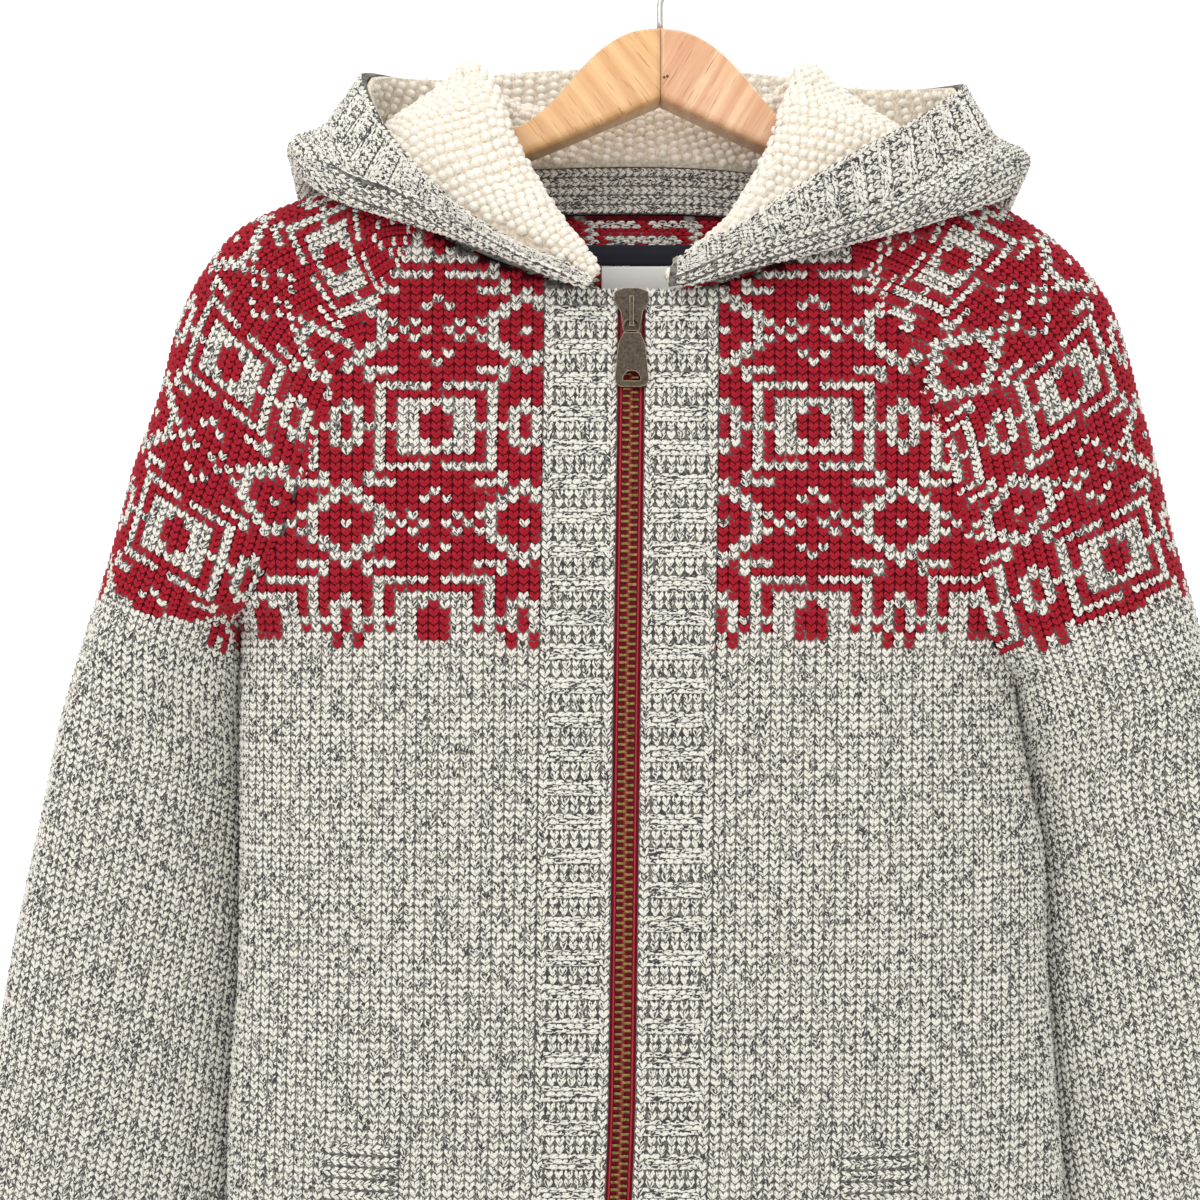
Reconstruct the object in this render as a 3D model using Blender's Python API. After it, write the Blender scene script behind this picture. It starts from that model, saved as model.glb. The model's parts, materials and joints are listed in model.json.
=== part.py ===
"""A knitted zip hoodie hanging on a wooden hanger, built from the pieces a maker would knit and sew.

Metres, +Z up, the front faces -Y. The origin is the inside top of the hanger's hook, where a rail
would carry it. "out" is the distance from the garment's own centre plane, towards the side in hand.
Right and left are the wearer's: the right side is at -X.
"""
import math

import bmesh
import bpy
import numpy as np
from mathutils import Matrix, Vector

# ---------------------------------------------------------------- driving sizes
CENTRE_X = -0.009        # the garment hangs a little off the hanger's middle
WALL = 0.0038            # thickness of the body knit
HOOD_KNIT = 0.0032       # thickness of the hood's outer knit
HOOD_LINING = 0.0030     # thickness of the hood's lining
SEAM = 0.0003            # space left between two pieces at a seam
RAISE = 0.0008           # height of a knitted rib or block over its ground
SIDE_Y = 0.002           # depth of the body's side fold

SIDES = (("right", -1), ("left", 1))

# Stations run down the garment: 0 neckline, 1 underarm, 2 top of the hem and cuff ribs, 3 their ends.
STATIONS = (0, .12, .25, .4, .55, .7, .82, .92, 1, 1.12, 1.25, 1.4, 1.55, 1.7, 1.85, 2)
RIB_STATIONS = (2, 3)

# ---------------------------------------------------------------- tables, one row a section
BODY_COLUMNS = ("station", "front_z", "back_z", "front_depth", "back_depth", "round")
BODY = (
    (0.00, -.2030, -.1515, .036, .034, 1.0),
    (0.12, -.2170, -.1800, .038, .036, 1.0),
    (0.25, -.2350, -.2100, .041, .039, 1.0),
    (0.40, -.2580, -.2450, .043, .041, 1.0),
    (0.55, -.2870, -.2810, .045, .042, 1.0),
    (0.70, -.3190, -.3165, .046, .042, 1.1),
    (0.82, -.3470, -.3460, .0465, .042, 1.3),
    (0.92, -.3710, -.3710, .047, .042, 1.6),
    (1.00, -.3885, -.3885, .047, .042, 2.0),
    (1.40, -.5475, -.5475, .047, .041, 2.0),
    (1.70, -.6620, -.6620, .045, .040, 2.0),
    (1.85, -.7050, -.7050, .044, .039, 2.0),
    (2.00, -.7450, -.7450, .042, .037, 2.0),
    (3.00, -.8000, -.8000, .040, .036, 2.0),
)

SIDE_COLUMNS = ("station", "out", "z")
SIDE_SEAM = {
    -1: ((1.00, .2091, -.3716), (1.12, .2099, -.4320), (1.25, .2099, -.4820), (1.40, .2105, -.5450),
         (1.55, .2148, -.6070), (1.70, .2162, -.6620), (1.85, .2140, -.7050), (2.00, .2060, -.7450),
         (3.00, .2075, -.8000)),
    1: ((1.00, .1935, -.4050), (1.12, .2005, -.4500), (1.25, .2095, -.4950), (1.40, .2105, -.5500),
        (1.55, .2148, -.6070), (1.70, .2185, -.6620), (1.85, .2160, -.7050), (2.00, .2080, -.7450),
        (3.00, .2095, -.8000)),
}

# inner is the raglan line, and below the underarm the sleeve's inner fold; outer is the outer fold.
# wrap is how far the sleeve goes round from its outer fold, in degrees each way.
SLEEVE_COLUMNS = ("station", "inner_out", "inner_y", "inner_z", "outer_out", "outer_y", "outer_z",
                  "depth", "wrap", "back_rise")
SLEEVE = {
    -1: (
        (0.00, .1137, .002, -.1680, .1250, .002, -.1305, .036, 88, .014),
        (0.12, .1275, .002, -.1940, .1650, .002, -.1455, .040, 90, .010),
        (0.25, .1400, .002, -.2180, .2100, .002, -.1655, .043, 93, .007),
        (0.40, .1540, .002, -.2445, .2395, .002, -.2080, .045, 97, .004),
        (0.55, .1660, .002, -.2770, .2523, .002, -.2539, .046, 103, .002),
        (0.70, .1770, .002, -.3110, .2660, .002, -.2930, .046, 112, 0),
        (0.82, .1880, .002, -.3350, .2745, .002, -.3271, .046, 124, 0),
        (0.92, .2000, .002, -.3560, .2810, .002, -.3500, .046, 142, 0),
        (1.00, .2112, .003, -.3716, .2880, .002, -.3720, .045, 180, 0),
        (1.12, .2088, .030, -.4320, .3015, -.006, -.4240, .042, 180, 0),
        (1.25, .2070, .030, -.4820, .3117, -.006, -.4740, .040, 180, 0),
        (1.40, .2075, .030, -.5450, .3246, -.005, -.5320, .037, 180, 0),
        (1.55, .2115, .029, -.6070, .3358, -.004, -.5920, .034, 180, 0),
        (1.70, .2135, .027, -.6620, .3475, -.002, -.6450, .031, 180, 0),
        (1.85, .2240, .024, -.7090, .3550, .000, -.6900, .028, 180, 0),
        (2.00, .2520, .020, -.7480, .3540, .002, -.7270, .024, 180, 0),
        (3.00, .2680, .020, -.8150, .3600, .004, -.7940, .021, 180, 0),
    ),
    1: (
        (0.00, .1000, .002, -.1720, .1250, .002, -.1245, .036, 88, .014),
        (0.12, .1130, .002, -.1960, .1650, .002, -.1425, .040, 90, .010),
        (0.25, .1265, .002, -.2220, .2170, .002, -.1735, .043, 93, .007),
        (0.40, .1425, .002, -.2570, .2445, .002, -.2075, .045, 97, .004),
        (0.55, .1535, .002, -.2900, .2590, .002, -.2560, .046, 103, .002),
        (0.70, .1610, .002, -.3220, .2700, .002, -.2990, .046, 112, 0),
        (0.82, .1670, .002, -.3490, .2785, .002, -.3350, .046, 124, 0),
        (0.92, .1770, .002, -.3780, .2880, .002, -.3680, .046, 142, 0),
        (1.00, .1956, .003, -.4050, .2965, .002, -.4050, .045, 180, 0),
        (1.12, .1995, .030, -.4500, .3070, -.006, -.4500, .042, 180, 0),
        (1.25, .2065, .030, -.4950, .3155, -.006, -.4940, .040, 180, 0),
        (1.40, .2075, .030, -.5500, .3255, -.005, -.5400, .037, 180, 0),
        (1.55, .2115, .029, -.6070, .3360, -.004, -.5940, .034, 180, 0),
        (1.70, .2155, .027, -.6620, .3480, -.002, -.6460, .031, 180, 0),
        (1.85, .2280, .024, -.7090, .3555, .000, -.6900, .028, 180, 0),
        (2.00, .2530, .020, -.7480, .3545, .002, -.7270, .024, 180, 0),
        (3.00, .2690, .020, -.8150, .3605, .004, -.7940, .021, 180, 0),
    ),
}

# The zip's middle line, from the garment's centre plane.
ZIP_COLUMNS = ("station", "x")
ZIP_LINE = ((0, -.0064), (.4, -.0069), (.92, -.0084), (1.4, -.0106), (1.55, -.0114), (1.85, -.0150),
            (3, -.0165))
ZIP_GAP = 0.0067         # from the zip's middle to the edge of a band
BAND_WIDTH = 0.0373      # width of the knitted band beside the zip
TAPE_HALF = 0.0140       # half width of the zip tape
TAPE_THICK = 0.0008
CHAIN_HALF = 0.0045      # half width of the tooth chain
CHAIN_THICK = 0.0024
BLOCK = 0.0085           # half a repeat of the band's block stitch

# The hood lies back in a fold: seam, crest, bottom of the fold (the overhang), free rim.
# p is 0 at the centre back and 1 at the top of the zip. The lines are those of the outer faces.
HOOD_COLUMNS = ("p", "crest_out", "crest_y", "crest_z", "fold_out", "fold_y", "fold_z",
                "rim_out", "rim_y", "rim_z")
HOOD = {
    -1: (
        (0.00, .0000, .050, -.0870, .0000, .094, -.3150, .0000, .112, -.0520),
        (0.15, .0400, .048, -.0920, .0750, .090, -.3000, .0569, .108, -.0545),
        (0.30, .0740, .038, -.0870, .1350, .078, -.2450, .1075, .090, -.0640),
        (0.45, .0870, .012, -.0765, .1750, .034, -.1720, .1401, .050, -.0715),
        (0.52, .0760, -.010, -.0930, .1721, -.012, -.1466, .1455, .012, -.0836),
        (0.60, .0692, -.026, -.1164, .1558, -.038, -.1555, .1339, -.022, -.1129),
        (0.69, .0588, -.033, -.1388, .1294, -.049, -.1652, .1173, -.046, -.1376),
        (0.77, .0485, -.038, -.1570, .0992, -.054, -.1756, .0951, -.055, -.1619),
        (0.84, .0399, -.041, -.1696, .0669, -.055, -.1886, .0633, -.058, -.1827),
        (0.90, .0284, -.043, -.1841, .0442, -.054, -.1979, .0382, -.057, -.1924),
        (0.98, .0194, -.045, -.2009, .0204, -.051, -.2053, .0199, -.053, -.2036),
    ),
    1: (
        (0.00, .0000, .050, -.0870, .0000, .094, -.3150, .0000, .112, -.0520),
        (0.15, .0360, .048, -.0920, .0750, .090, -.3000, .0612, .108, -.0552),
        (0.30, .0690, .038, -.0870, .1350, .078, -.2450, .1189, .085, -.0700),
        (0.45, .0830, .012, -.0770, .1850, .034, -.1780, .1602, .045, -.0795),
        (0.52, .0730, -.012, -.1010, .1858, -.012, -.1544, .1669, .012, -.0878),
        (0.60, .0626, -.028, -.1306, .1539, -.038, -.1651, .1468, -.020, -.1083),
        (0.69, .0525, -.033, -.1504, .1171, -.049, -.1751, .1121, -.045, -.1309),
        (0.77, .0421, -.038, -.1671, .0842, -.054, -.1845, .0767, -.054, -.1528),
        (0.84, .0304, -.041, -.1777, .0519, -.055, -.1921, .0468, -.057, -.1731),
        (0.90, .0187, -.043, -.1891, .0272, -.054, -.1998, .0250, -.057, -.1830),
        (0.98, .0051, -.045, -.2009, .0035, -.051, -.2028, .0054, -.053, -.2002),
    ),
}
# turn is the way a layer lies on the next (0 backwards, 90 outwards, 180 forwards), lift its rise at
# the crest, belly how far the middle layer stands off, thin the thickness there, stand the height of
# the neck rib under the hood.
LAY_COLUMNS = ("p", "turn", "lift", "belly", "thin", "stand")
LAY = (
    (0.00, 0, .20, .000, 1.0, .0260),
    (0.15, 12, .20, .004, 1.0, .0255),
    (0.30, 35, .35, .010, 1.0, .0230),
    (0.45, 65, .60, .012, 1.0, .0120),
    (0.52, 95, .75, .010, 1.0, .0070),
    (0.60, 135, .62, .010, 1.0, .0040),
    (0.69, 165, .25, .003, 1.0, .0025),
    (0.77, 178, .10, .001, .9, .0020),
    (0.84, 180, .00, .000, .75, .0020),
    (0.90, 180, .00, .000, .6, .0020),
    (0.98, 180, .00, .000, .42, .0020),
)
HOOD_RING = (0, .1, .2, .3, .38, .44, .48, .51, .54, .58, .64, .71, .78, .85, .9, .95)
LAYER_SPACE = 0.0100     # from one layer's middle to the next where they lie close
HOOD_BAND = 0.036        # width of the block-stitch band round the hood's face
RING_FRONT = 0.72        # p where the neckline passes from a front to the sleeve
RING_BACK = 0.30         # p where it passes from the sleeve to the back
NECK_RIB_END = 0.62      # p where the neck rib ends under the hood

# ---------------------------------------------------------------- the hanger
HANGER_TILT = math.radians(1.2)
HANGER_COLUMNS = ("x", "top", "bottom", "half_depth")
HANGER_ARM = (
    (.00015, -.0612, -.0992, .0125),
    (.0150, -.0636, -.1060, .0125),
    (.0290, -.0714, -.1122, .0125),
    (.0415, -.0833, -.1178, .0125),
    (.0540, -.0982, -.1232, .0125),
    (.0625, -.1064, -.1268, .0125),
    (.0800, -.1172, -.1345, .0128),
    (.1100, -.1310, -.1490, .0128),
)
HANGER_REACH = 0.214     # half the hanger's length
HANGER_HEIGHT = 0.018    # height of the arm where it is hidden
HANGER_SEAT = 0.0005     # space between the arm and the cloth that it carries
HANGER_CROWN = ((.08, .15), (.0035, .0080))   # how far the top's edges lie under its middle
HANGER_DROP = 0.0035     # the arm's top is flatter than the cloth that bends over it
WIRE = 0.0017            # radius of the hook's wire
HOOK_RADIUS = 0.0202     # radius of the hook's bend, at the wire's middle
HOOK_STEM = 0.013        # straight stretch of the hook over the wood

# ---------------------------------------------------------------- small pieces
SLIDER_TOP = -.2015
SLIDER_LENGTH = 0.0215
SLIDER_WIDTH = 0.0180
SLIDER_THICK = 0.0018
PULL_LENGTH = 0.0360
PULL_WIDTH = 0.0170
PULL_THICK = 0.0018
PULL_LEAN = math.radians(6)   # the tab lies along the cloth's slope
RING_RADIUS = 0.0042     # the pull's top ring, at the wire's middle
RING_WIRE = 0.0008
BRIDGE_LENGTH = 0.0150
BRIDGE_WIDTH = 0.0020
BRIDGE_RISE = 0.0036

WELT_LENGTH = 0.104
WELT_WIDTH = 0.0380
WELT_TOP_Z = -.632
WELT_THICK = 0.0030
WELT_MIDDLE = {-1: .1427, 1: .1177}

NECK_TAPE_Z = (-.1784, -.1676)
NECK_TAPE_HALF = 0.085
LABEL_Z = (-.1925, -.1790)
LABEL_HALF = 0.0215
TRIM_THICK = 0.0009

COLOURS = {
    "marl": ((.62, .58, .52), .9, 0), "red": ((.42, .02, .04), .9, 0), "lining": ((.84, .78, .68), .95, 0),
    "tape": ((.32, .02, .05), .8, 0), "brass": ((.36, .27, .12), .4, 1), "bronze": ((.12, .10, .08), .4, 1),
    "navy": ((.02, .02, .035), .9, 0), "label": ((.86, .86, .86), .8, 0), "wood": ((.72, .46, .24), .45, 0),
    "steel": ((.75, .75, .76), .25, 1),
}


# ---------------------------------------------------------------- reading the tables
def read(columns, rows, at):
    """A table read at the given stations by a monotone cubic through its rows: a dict of arrays."""
    table = np.array(rows, float)
    x, y = table[:, 0], table[:, 1:]
    step = np.diff(x)[:, None]
    slope = np.diff(y, axis=0) / step
    before, after = slope[:-1], slope[1:]
    level = before * after <= 0
    weight_a = 2 * step[1:] + step[:-1]
    weight_b = step[1:] + 2 * step[:-1]
    safe_before = np.where(level, 1.0, before)
    safe_after = np.where(level, 1.0, after)
    mean = (weight_a + weight_b) / (weight_a / safe_before + weight_b / safe_after)
    tangent = np.vstack([slope[:1], np.where(level, 0.0, mean), slope[-1:]])
    at = np.clip(np.asarray(at, float), x[0], x[-1])
    k = np.clip(np.searchsorted(x, at, side="right") - 1, 0, len(x) - 2)
    width = (x[k + 1] - x[k])[:, None]
    t = (at - x[k])[:, None] / width
    value = (y[k] * (2 * t**3 - 3 * t**2 + 1) + y[k + 1] * (3 * t**2 - 2 * t**3)
             + width * (tangent[k] * (t**3 - 2 * t**2 + t) + tangent[k + 1] * (t**3 - t**2)))
    return {name: value[:, i] for i, name in enumerate(columns[1:])}


def unit(vectors):
    return vectors / np.maximum(np.linalg.norm(vectors, axis=-1, keepdims=True), 1e-12)


def point(out, y, z, side):
    """World points from the table's out, y and z."""
    return np.stack([CENTRE_X + side * out, y, z], axis=-1)


# ---------------------------------------------------------------- the garment's surfaces
def sleeve_surface(side, stations, turns):
    """Each section is an ellipse about the line from the inner to the outer fold. A turn of 1 is the
    front raglan seam, 0 the outer fold and -1 the back seam; wrap says how far round they are."""
    t = read(SLEEVE_COLUMNS, SLEEVE[side], stations)
    inner = point(t["inner_out"], t["inner_y"], t["inner_z"], side)
    outer = point(t["outer_out"], t["outer_y"], t["outer_z"], side)
    reach = outer - inner
    across = unit(reach)
    wrap = np.radians(t["wrap"])
    half = np.linalg.norm(reach, axis=1) / (1 - np.cos(wrap))
    centre = outer - across * half[:, None]
    forward = np.array([[0.0, -1.0, 0.0]])
    angle = wrap[:, None] * np.asarray(turns)[None, :]
    grid = (centre[:, None] + across[:, None] * (half[:, None] * np.cos(angle))[..., None]
            + forward[:, None] * (t["depth"][:, None] * np.sin(angle))[..., None])
    back = np.clip(-np.asarray(turns), 0, 1) ** 2
    grid[..., 2] += t["back_rise"][:, None] * back[None, :]
    return grid


def torso_edge(side, stations, face):
    """The raglan line down to the underarm, then the side seam. face is 1 in front, -1 behind."""
    stations = np.asarray(stations, float)
    raglan = sleeve_surface(side, stations, [face])[:, 0]
    seam = read(SIDE_COLUMNS, SIDE_SEAM[side], stations)
    seam = point(seam["out"], np.full(len(stations), SIDE_Y), seam["z"], side)
    return np.where((stations < 1)[:, None], raglan, seam)


def torso_surface(stations, x, face):
    """Front or back: depth falls from the centre to the edge as (1 - s^2.6)^(1/round), where s is the
    part of the way out, and the height runs from the centre's to the edge's as s squared."""
    stations = np.asarray(stations, float)
    t = read(BODY_COLUMNS, BODY, stations)
    centre_z = t["front_z"] if face == 1 else t["back_z"]
    centre_y = -t["front_depth"] if face == 1 else t["back_depth"]
    grid = np.empty(x.shape + (3,))
    for side in (-1, 1):
        edge = torso_edge(side, stations, face)
        reach = np.abs(edge[:, 0] - CENTRE_X)[:, None]
        s = np.clip(np.abs(x) / reach, 0, 1)
        fall = (1 - s**2.6) ** (1 / t["round"][:, None])
        y = edge[:, 1:2] + (centre_y[:, None] - edge[:, 1:2]) * fall
        z = centre_z[:, None] + (edge[:, 2:3] - centre_z[:, None]) * s**2
        mine = (x * side >= 0)
        grid[mine] = np.stack([x + CENTRE_X, y, z], axis=-1)[mine]
    return grid


def zip_x(stations):
    return read(ZIP_COLUMNS, ZIP_LINE, stations)["x"]


def edge_x(side, stations, face):
    return torso_edge(side, stations, face)[:, 0] - CENTRE_X


def front_grid(side, stations, columns=7):
    """A front, from the zip band's edge to the raglan or side seam, closer columns at the side."""
    start = zip_x(stations) + side * (ZIP_GAP + BAND_WIDTH)
    end = edge_x(side, stations, 1)
    share = 1 - (1 - np.linspace(0, 1, columns + 1)) ** 1.5
    x = start[:, None] + (end - start)[:, None] * share[None, :]
    return torso_surface(stations, x, 1)


def back_grid(stations, columns=14):
    """The back, from the right edge to the left one, closer columns at both."""
    right, left = edge_x(-1, stations, -1), edge_x(1, stations, -1)
    share = (1 - np.cos(np.linspace(0, math.pi, columns + 1))) / 2
    share = 0.5 * share + 0.5 * np.linspace(0, 1, columns + 1)
    return torso_surface(stations, right[:, None] + (left - right)[:, None] * share[None, :], -1)


def band_grid(side, stations, columns=3):
    start = zip_x(stations) + side * ZIP_GAP
    share = np.array([0, .14, .86, 1]) if columns == 3 else np.linspace(0, 1, columns + 1)
    x = start[:, None] + side * BAND_WIDTH * share[None, :]
    return torso_surface(stations, x, 1)


def neck_ring(side, ps):
    """The neckline, at the middle of the wall: along the front, over the sleeve, along the back."""
    ps = np.asarray(ps, float)
    station = np.zeros(1)
    ring = np.empty((len(ps), 3))
    zip_edge = abs(zip_x(station)[0] + side * ZIP_GAP)
    front_out = abs(edge_x(side, station, 1)[0])
    back_out = abs(edge_x(side, station, -1)[0])
    for i, p in enumerate(ps):
        if p >= RING_FRONT:
            out = front_out + (zip_edge - front_out) * (p - RING_FRONT) / (1 - RING_FRONT)
            here = torso_surface(station, np.array([[side * out]]), 1)[0, 0]
        elif p >= RING_BACK:
            turn = 2 * (p - RING_BACK) / (RING_FRONT - RING_BACK) - 1
            here = sleeve_surface(side, station, [turn])[0, 0]
        else:
            out = back_out * p / RING_BACK
            here = torso_surface(station, np.array([[side * out]]), -1)[0, 0]
        ring[i] = here
    return ring


def layers(side, ps):
    """The control points of the hood's sections, from the neck seam to the rim."""
    t = read(HOOD_COLUMNS, HOOD[side], ps)
    lay = read(LAY_COLUMNS, LAY, ps)
    turn = np.radians(lay["turn"])
    way = np.stack([side * np.sin(turn), np.cos(turn), np.zeros(len(turn))], axis=-1)
    seam = neck_ring(side, ps)
    seam -= way * (WALL / 2)
    seam[:, 2] += lay["stand"]
    crest = point(t["crest_out"], t["crest_y"], t["crest_z"], side)
    fold = point(t["fold_out"], t["fold_y"], t["fold_z"], side)
    rim = point(t["rim_out"], t["rim_y"], t["rim_z"], side)
    thin = lay["thin"][:, None]
    down = unit(fold - crest)
    crest = crest + down * HOOD_LINING * thin
    fold = fold - down * HOOD_KNIT * thin
    up_way = unit(way * (1 - lay["lift"][:, None]) + np.array([0, 0, 1.0]) * lay["lift"][:, None])
    space = LAYER_SPACE * thin
    crest_in, crest_out = crest - up_way * space / 2, crest + up_way * space / 2
    fold_in, fold_out = fold - way * space / 2, fold + way * space / 2

    def towards(a, b, most):
        length = np.linalg.norm(b - a, axis=1, keepdims=True)
        return a + (b - a) * np.minimum(most, 1.2 * space / length)

    middle = (crest_out + fold_in) / 2 + up_way * lay["belly"][:, None]
    return np.stack([seam, towards(crest_in, seam, .5), crest_in, crest_out,
                     towards(crest_out, fold_in, .3), middle, towards(fold_in, crest_out, .3),
                     fold_in, fold_out, towards(fold_out, rim, .5), rim], axis=1)


def along_layers(control, v):
    """A chain of quadratic curves between the middles of the control lines; v runs 0 to 9 for each
    section (an array the size of the result's rows and columns)."""
    knots = (control[:, 1:-2] + control[:, 2:-1]) / 2
    starts = np.concatenate([control[:, :1], knots], axis=1)
    ends = np.concatenate([knots, control[:, -1:]], axis=1)
    piece = np.clip(np.floor(v).astype(int), 0, starts.shape[1] - 1)
    t = (v - piece)[..., None]
    row = np.arange(len(control))[:, None]
    a, b, c = starts[row, piece], control[row, piece + 1], ends[row, piece]
    grid = a * (1 - t) ** 2 + b * 2 * t * (1 - t) + c * t**2
    return grid, (b - a) * 2 * (1 - t) + (c - b) * 2 * t


HOOD_END = 9.0           # v at the rim
PANEL_V = (0, .9, 1.35, 1.8, 2.2, 2.65, 3.2, 4.5, 5.9, 6.35, 6.8, 7.2, 7.6)
BAND_SHARE = (0, .3, .9, 1)
KNIT_PRESSED = ((0, 1, 6, 8), (.8, .6, .6, 1))       # by column: the knit is pressed in the crest's fold
LINING_PRESSED = ((6, 7, 12, 14), (1, .42, .42, 1))   # and the lining in the lower fold
BAND_FROM = (7.95, 8.96)  # the band begins past the bottom of the fold


def band_start(control):
    """The v where the hood's band begins: its width back from the rim along each section."""
    fine = np.linspace(0, HOOD_END, 361)
    path, _ = along_layers(control, np.tile(fine, (len(control), 1)))
    run = np.linalg.norm(np.diff(path, axis=1), axis=2)
    left = np.concatenate([np.cumsum(run[:, ::-1], axis=1)[:, ::-1], np.zeros((len(control), 1))], axis=1)
    start = np.empty(len(control))
    for i in range(len(control)):
        width = min(HOOD_BAND, .42 * left[i, 0])
        start[i] = np.clip(fine[np.argmax(left[i] <= width)], *BAND_FROM)
    return start


def garment_points():
    """Points and outward normals of the fronts, back and sleeves, for what is laid on them."""
    stations = np.linspace(0, 1.3, 53)
    grids = [sleeve_surface(side, stations, np.linspace(1, -1, 61)) for _, side in SIDES]
    grids += [front_grid(side, stations, 30) for _, side in SIDES]
    grids += [band_grid(side, stations, 8) for _, side in SIDES] + [back_grid(stations, 60)]
    points, normals = [], []
    for grid in grids:
        normal = surface_normals(grid)
        away = grid - np.array([CENTRE_X, 0, 0]) * [1, 0, 0] - np.array([0, 0, -.6])
        normals.append((normal * np.sign((normal * away).sum(-1).mean())).reshape(-1, 3))
        points.append(grid.reshape(-1, 3))
    return np.concatenate(points), np.concatenate(normals)


def lay_on(points, clearance, cloth):
    """The points moved out along the cloth's nearest normal until they are clear of it."""
    flat = points.reshape(-1, 3).copy()
    need = np.broadcast_to(clearance, points.shape[:-1]).ravel()
    base, normals = cloth
    for _ in range(2):
        for i, here in enumerate(flat):
            k = np.argmin(((base - here) ** 2).sum(1))
            short = need[i] - (here - base[k]) @ normals[k]
            if short > 0:
                flat[i] = here + normals[k] * short
    return flat.reshape(points.shape)


def clear_of_hanger(grid, clearance):
    """The first layer moved over or beside the hanger's arms."""
    moved = grid.copy()
    for side in (-1, 1):
        rows = arm_rows(side)
        x = np.abs(moved[..., 0])
        tilt = moved[..., 0] * math.tan(HANGER_TILT)
        top = np.interp(x, rows[:, 0], rows[:, 1]) - tilt + clearance
        low = np.interp(x, rows[:, 0], rows[:, 2]) - tilt - clearance
        half = np.interp(x, rows[:, 0], rows[:, 3]) + clearance
        up, out = top - moved[..., 2], half - np.abs(moved[..., 1])
        inside = (moved[..., 0] * side > 0) & (up > 0) & (out > 0) & (moved[..., 2] > low)
        rise = inside & (up < out * 1.5)
        slide = inside & ~rise
        moved[..., 2] += np.where(rise, up, 0)
        moved[..., 1] += np.where(slide, out * np.sign(moved[..., 1] + 1e-9), 0)
    return moved


def hood_paths():
    """The hood's middle surface from the top of the zip on the right round to the left: the grid, its
    normals towards the outer knit, the column where the band begins, and the thickness there."""
    cloth = garment_points()
    grids, runs, thins = [], [], []
    for side in (-1, 1):
        ps = np.array(HOOD_RING if side == 1 else HOOD_RING[::-1], float)
        control, thin = layers(side, ps), read(LAY_COLUMNS, LAY, ps)["thin"][:, None]
        under = HOOD_KNIT * thin + .0012 + .0020 * ((ps > .4) & (ps < .6))[:, None]
        control[:, 4:8] = lay_on(control[:, 4:8], np.repeat(under + .0008, 4, 1), cloth)
        control[:, 8:10] = lay_on(control[:, 8:10], np.repeat(under + .0008 + LAYER_SPACE * thin, 2, 1), cloth)
        start = band_start(control)
        panel = np.tile(PANEL_V, (len(ps), 1))
        v = np.concatenate([panel, start[:, None] + np.outer(HOOD_END - start, BAND_SHARE)], axis=1)
        grid, run = along_layers(control, v)
        grid = np.where((v > 3.2)[..., None], lay_on(grid, np.repeat(under, v.shape[1], 1), cloth), grid)
        grid = np.where((v < 3.2)[..., None], clear_of_hanger(grid, HOOD_LINING + .0026), grid)
        grids.append(grid if side == -1 else grid[1:])
        runs.append(run if side == -1 else run[1:])
        thins.append(thin[:, 0] if side == -1 else thin[1:, 0])
    grid, run, thin = np.concatenate(grids), np.concatenate(runs), np.concatenate(thins)
    normals = unit(np.cross(np.gradient(grid, axis=0), run))
    middle = len(HOOD_RING) - 1
    normals *= np.sign(normals[middle, 1, 1])
    ps = np.concatenate([HOOD_RING[::-1], HOOD_RING[1:]])
    turn = np.radians(read(LAY_COLUMNS, LAY, ps)["turn"])
    hand = np.where(np.arange(len(ps)) < middle, -1, 1)
    normals[:, 0] = np.stack([hand * np.sin(turn), np.cos(turn), 0 * turn], axis=-1)
    return grid, normals, len(PANEL_V), thin


# ---------------------------------------------------------------- turning grids into solids
def surface_normals(grid, closed=False):
    """Unit normals of a grid by its rows and columns; a closed grid's last column is its first."""
    down = np.gradient(grid, axis=0)
    if closed:
        ring = np.concatenate([grid[:, -2:-1], grid, grid[:, 1:2]], axis=1)
        across = (ring[:, 2:] - ring[:, :-2]) / 2
    else:
        across = np.gradient(grid, axis=1)
    return unit(np.cross(down, across))


def join(a, b):
    return unit(a + b)


def pull_in(grid, amount, edge):
    """The grid with one edge moved towards its neighbour row or column, to leave room for a seam."""
    moved = grid.copy()
    first, second = {"left": ((slice(None), 0), (slice(None), 1)),
                     "right": ((slice(None), -1), (slice(None), -2)),
                     "top": ((0,), (1,)), "bottom": ((-1,), (-2,))}[edge]
    amount = np.asarray(amount, float)
    if amount.ndim:
        amount = amount[:, None]
    moved[first] = grid[first] + unit(grid[second] - grid[first]) * amount
    return moved


def refine(grid, counts, axis=0):
    """Straight steps between neighbouring rows (or columns), counts says how many in each."""
    grid = np.moveaxis(grid, axis, 0)
    rows = [grid[:1]]
    for k, count in enumerate(counts):
        for i in range(1, count + 1):
            rows.append(grid[k:k + 1] + (grid[k + 1:k + 2] - grid[k:k + 1]) * i / count)
    return np.moveaxis(np.concatenate(rows), 0, axis)


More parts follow.
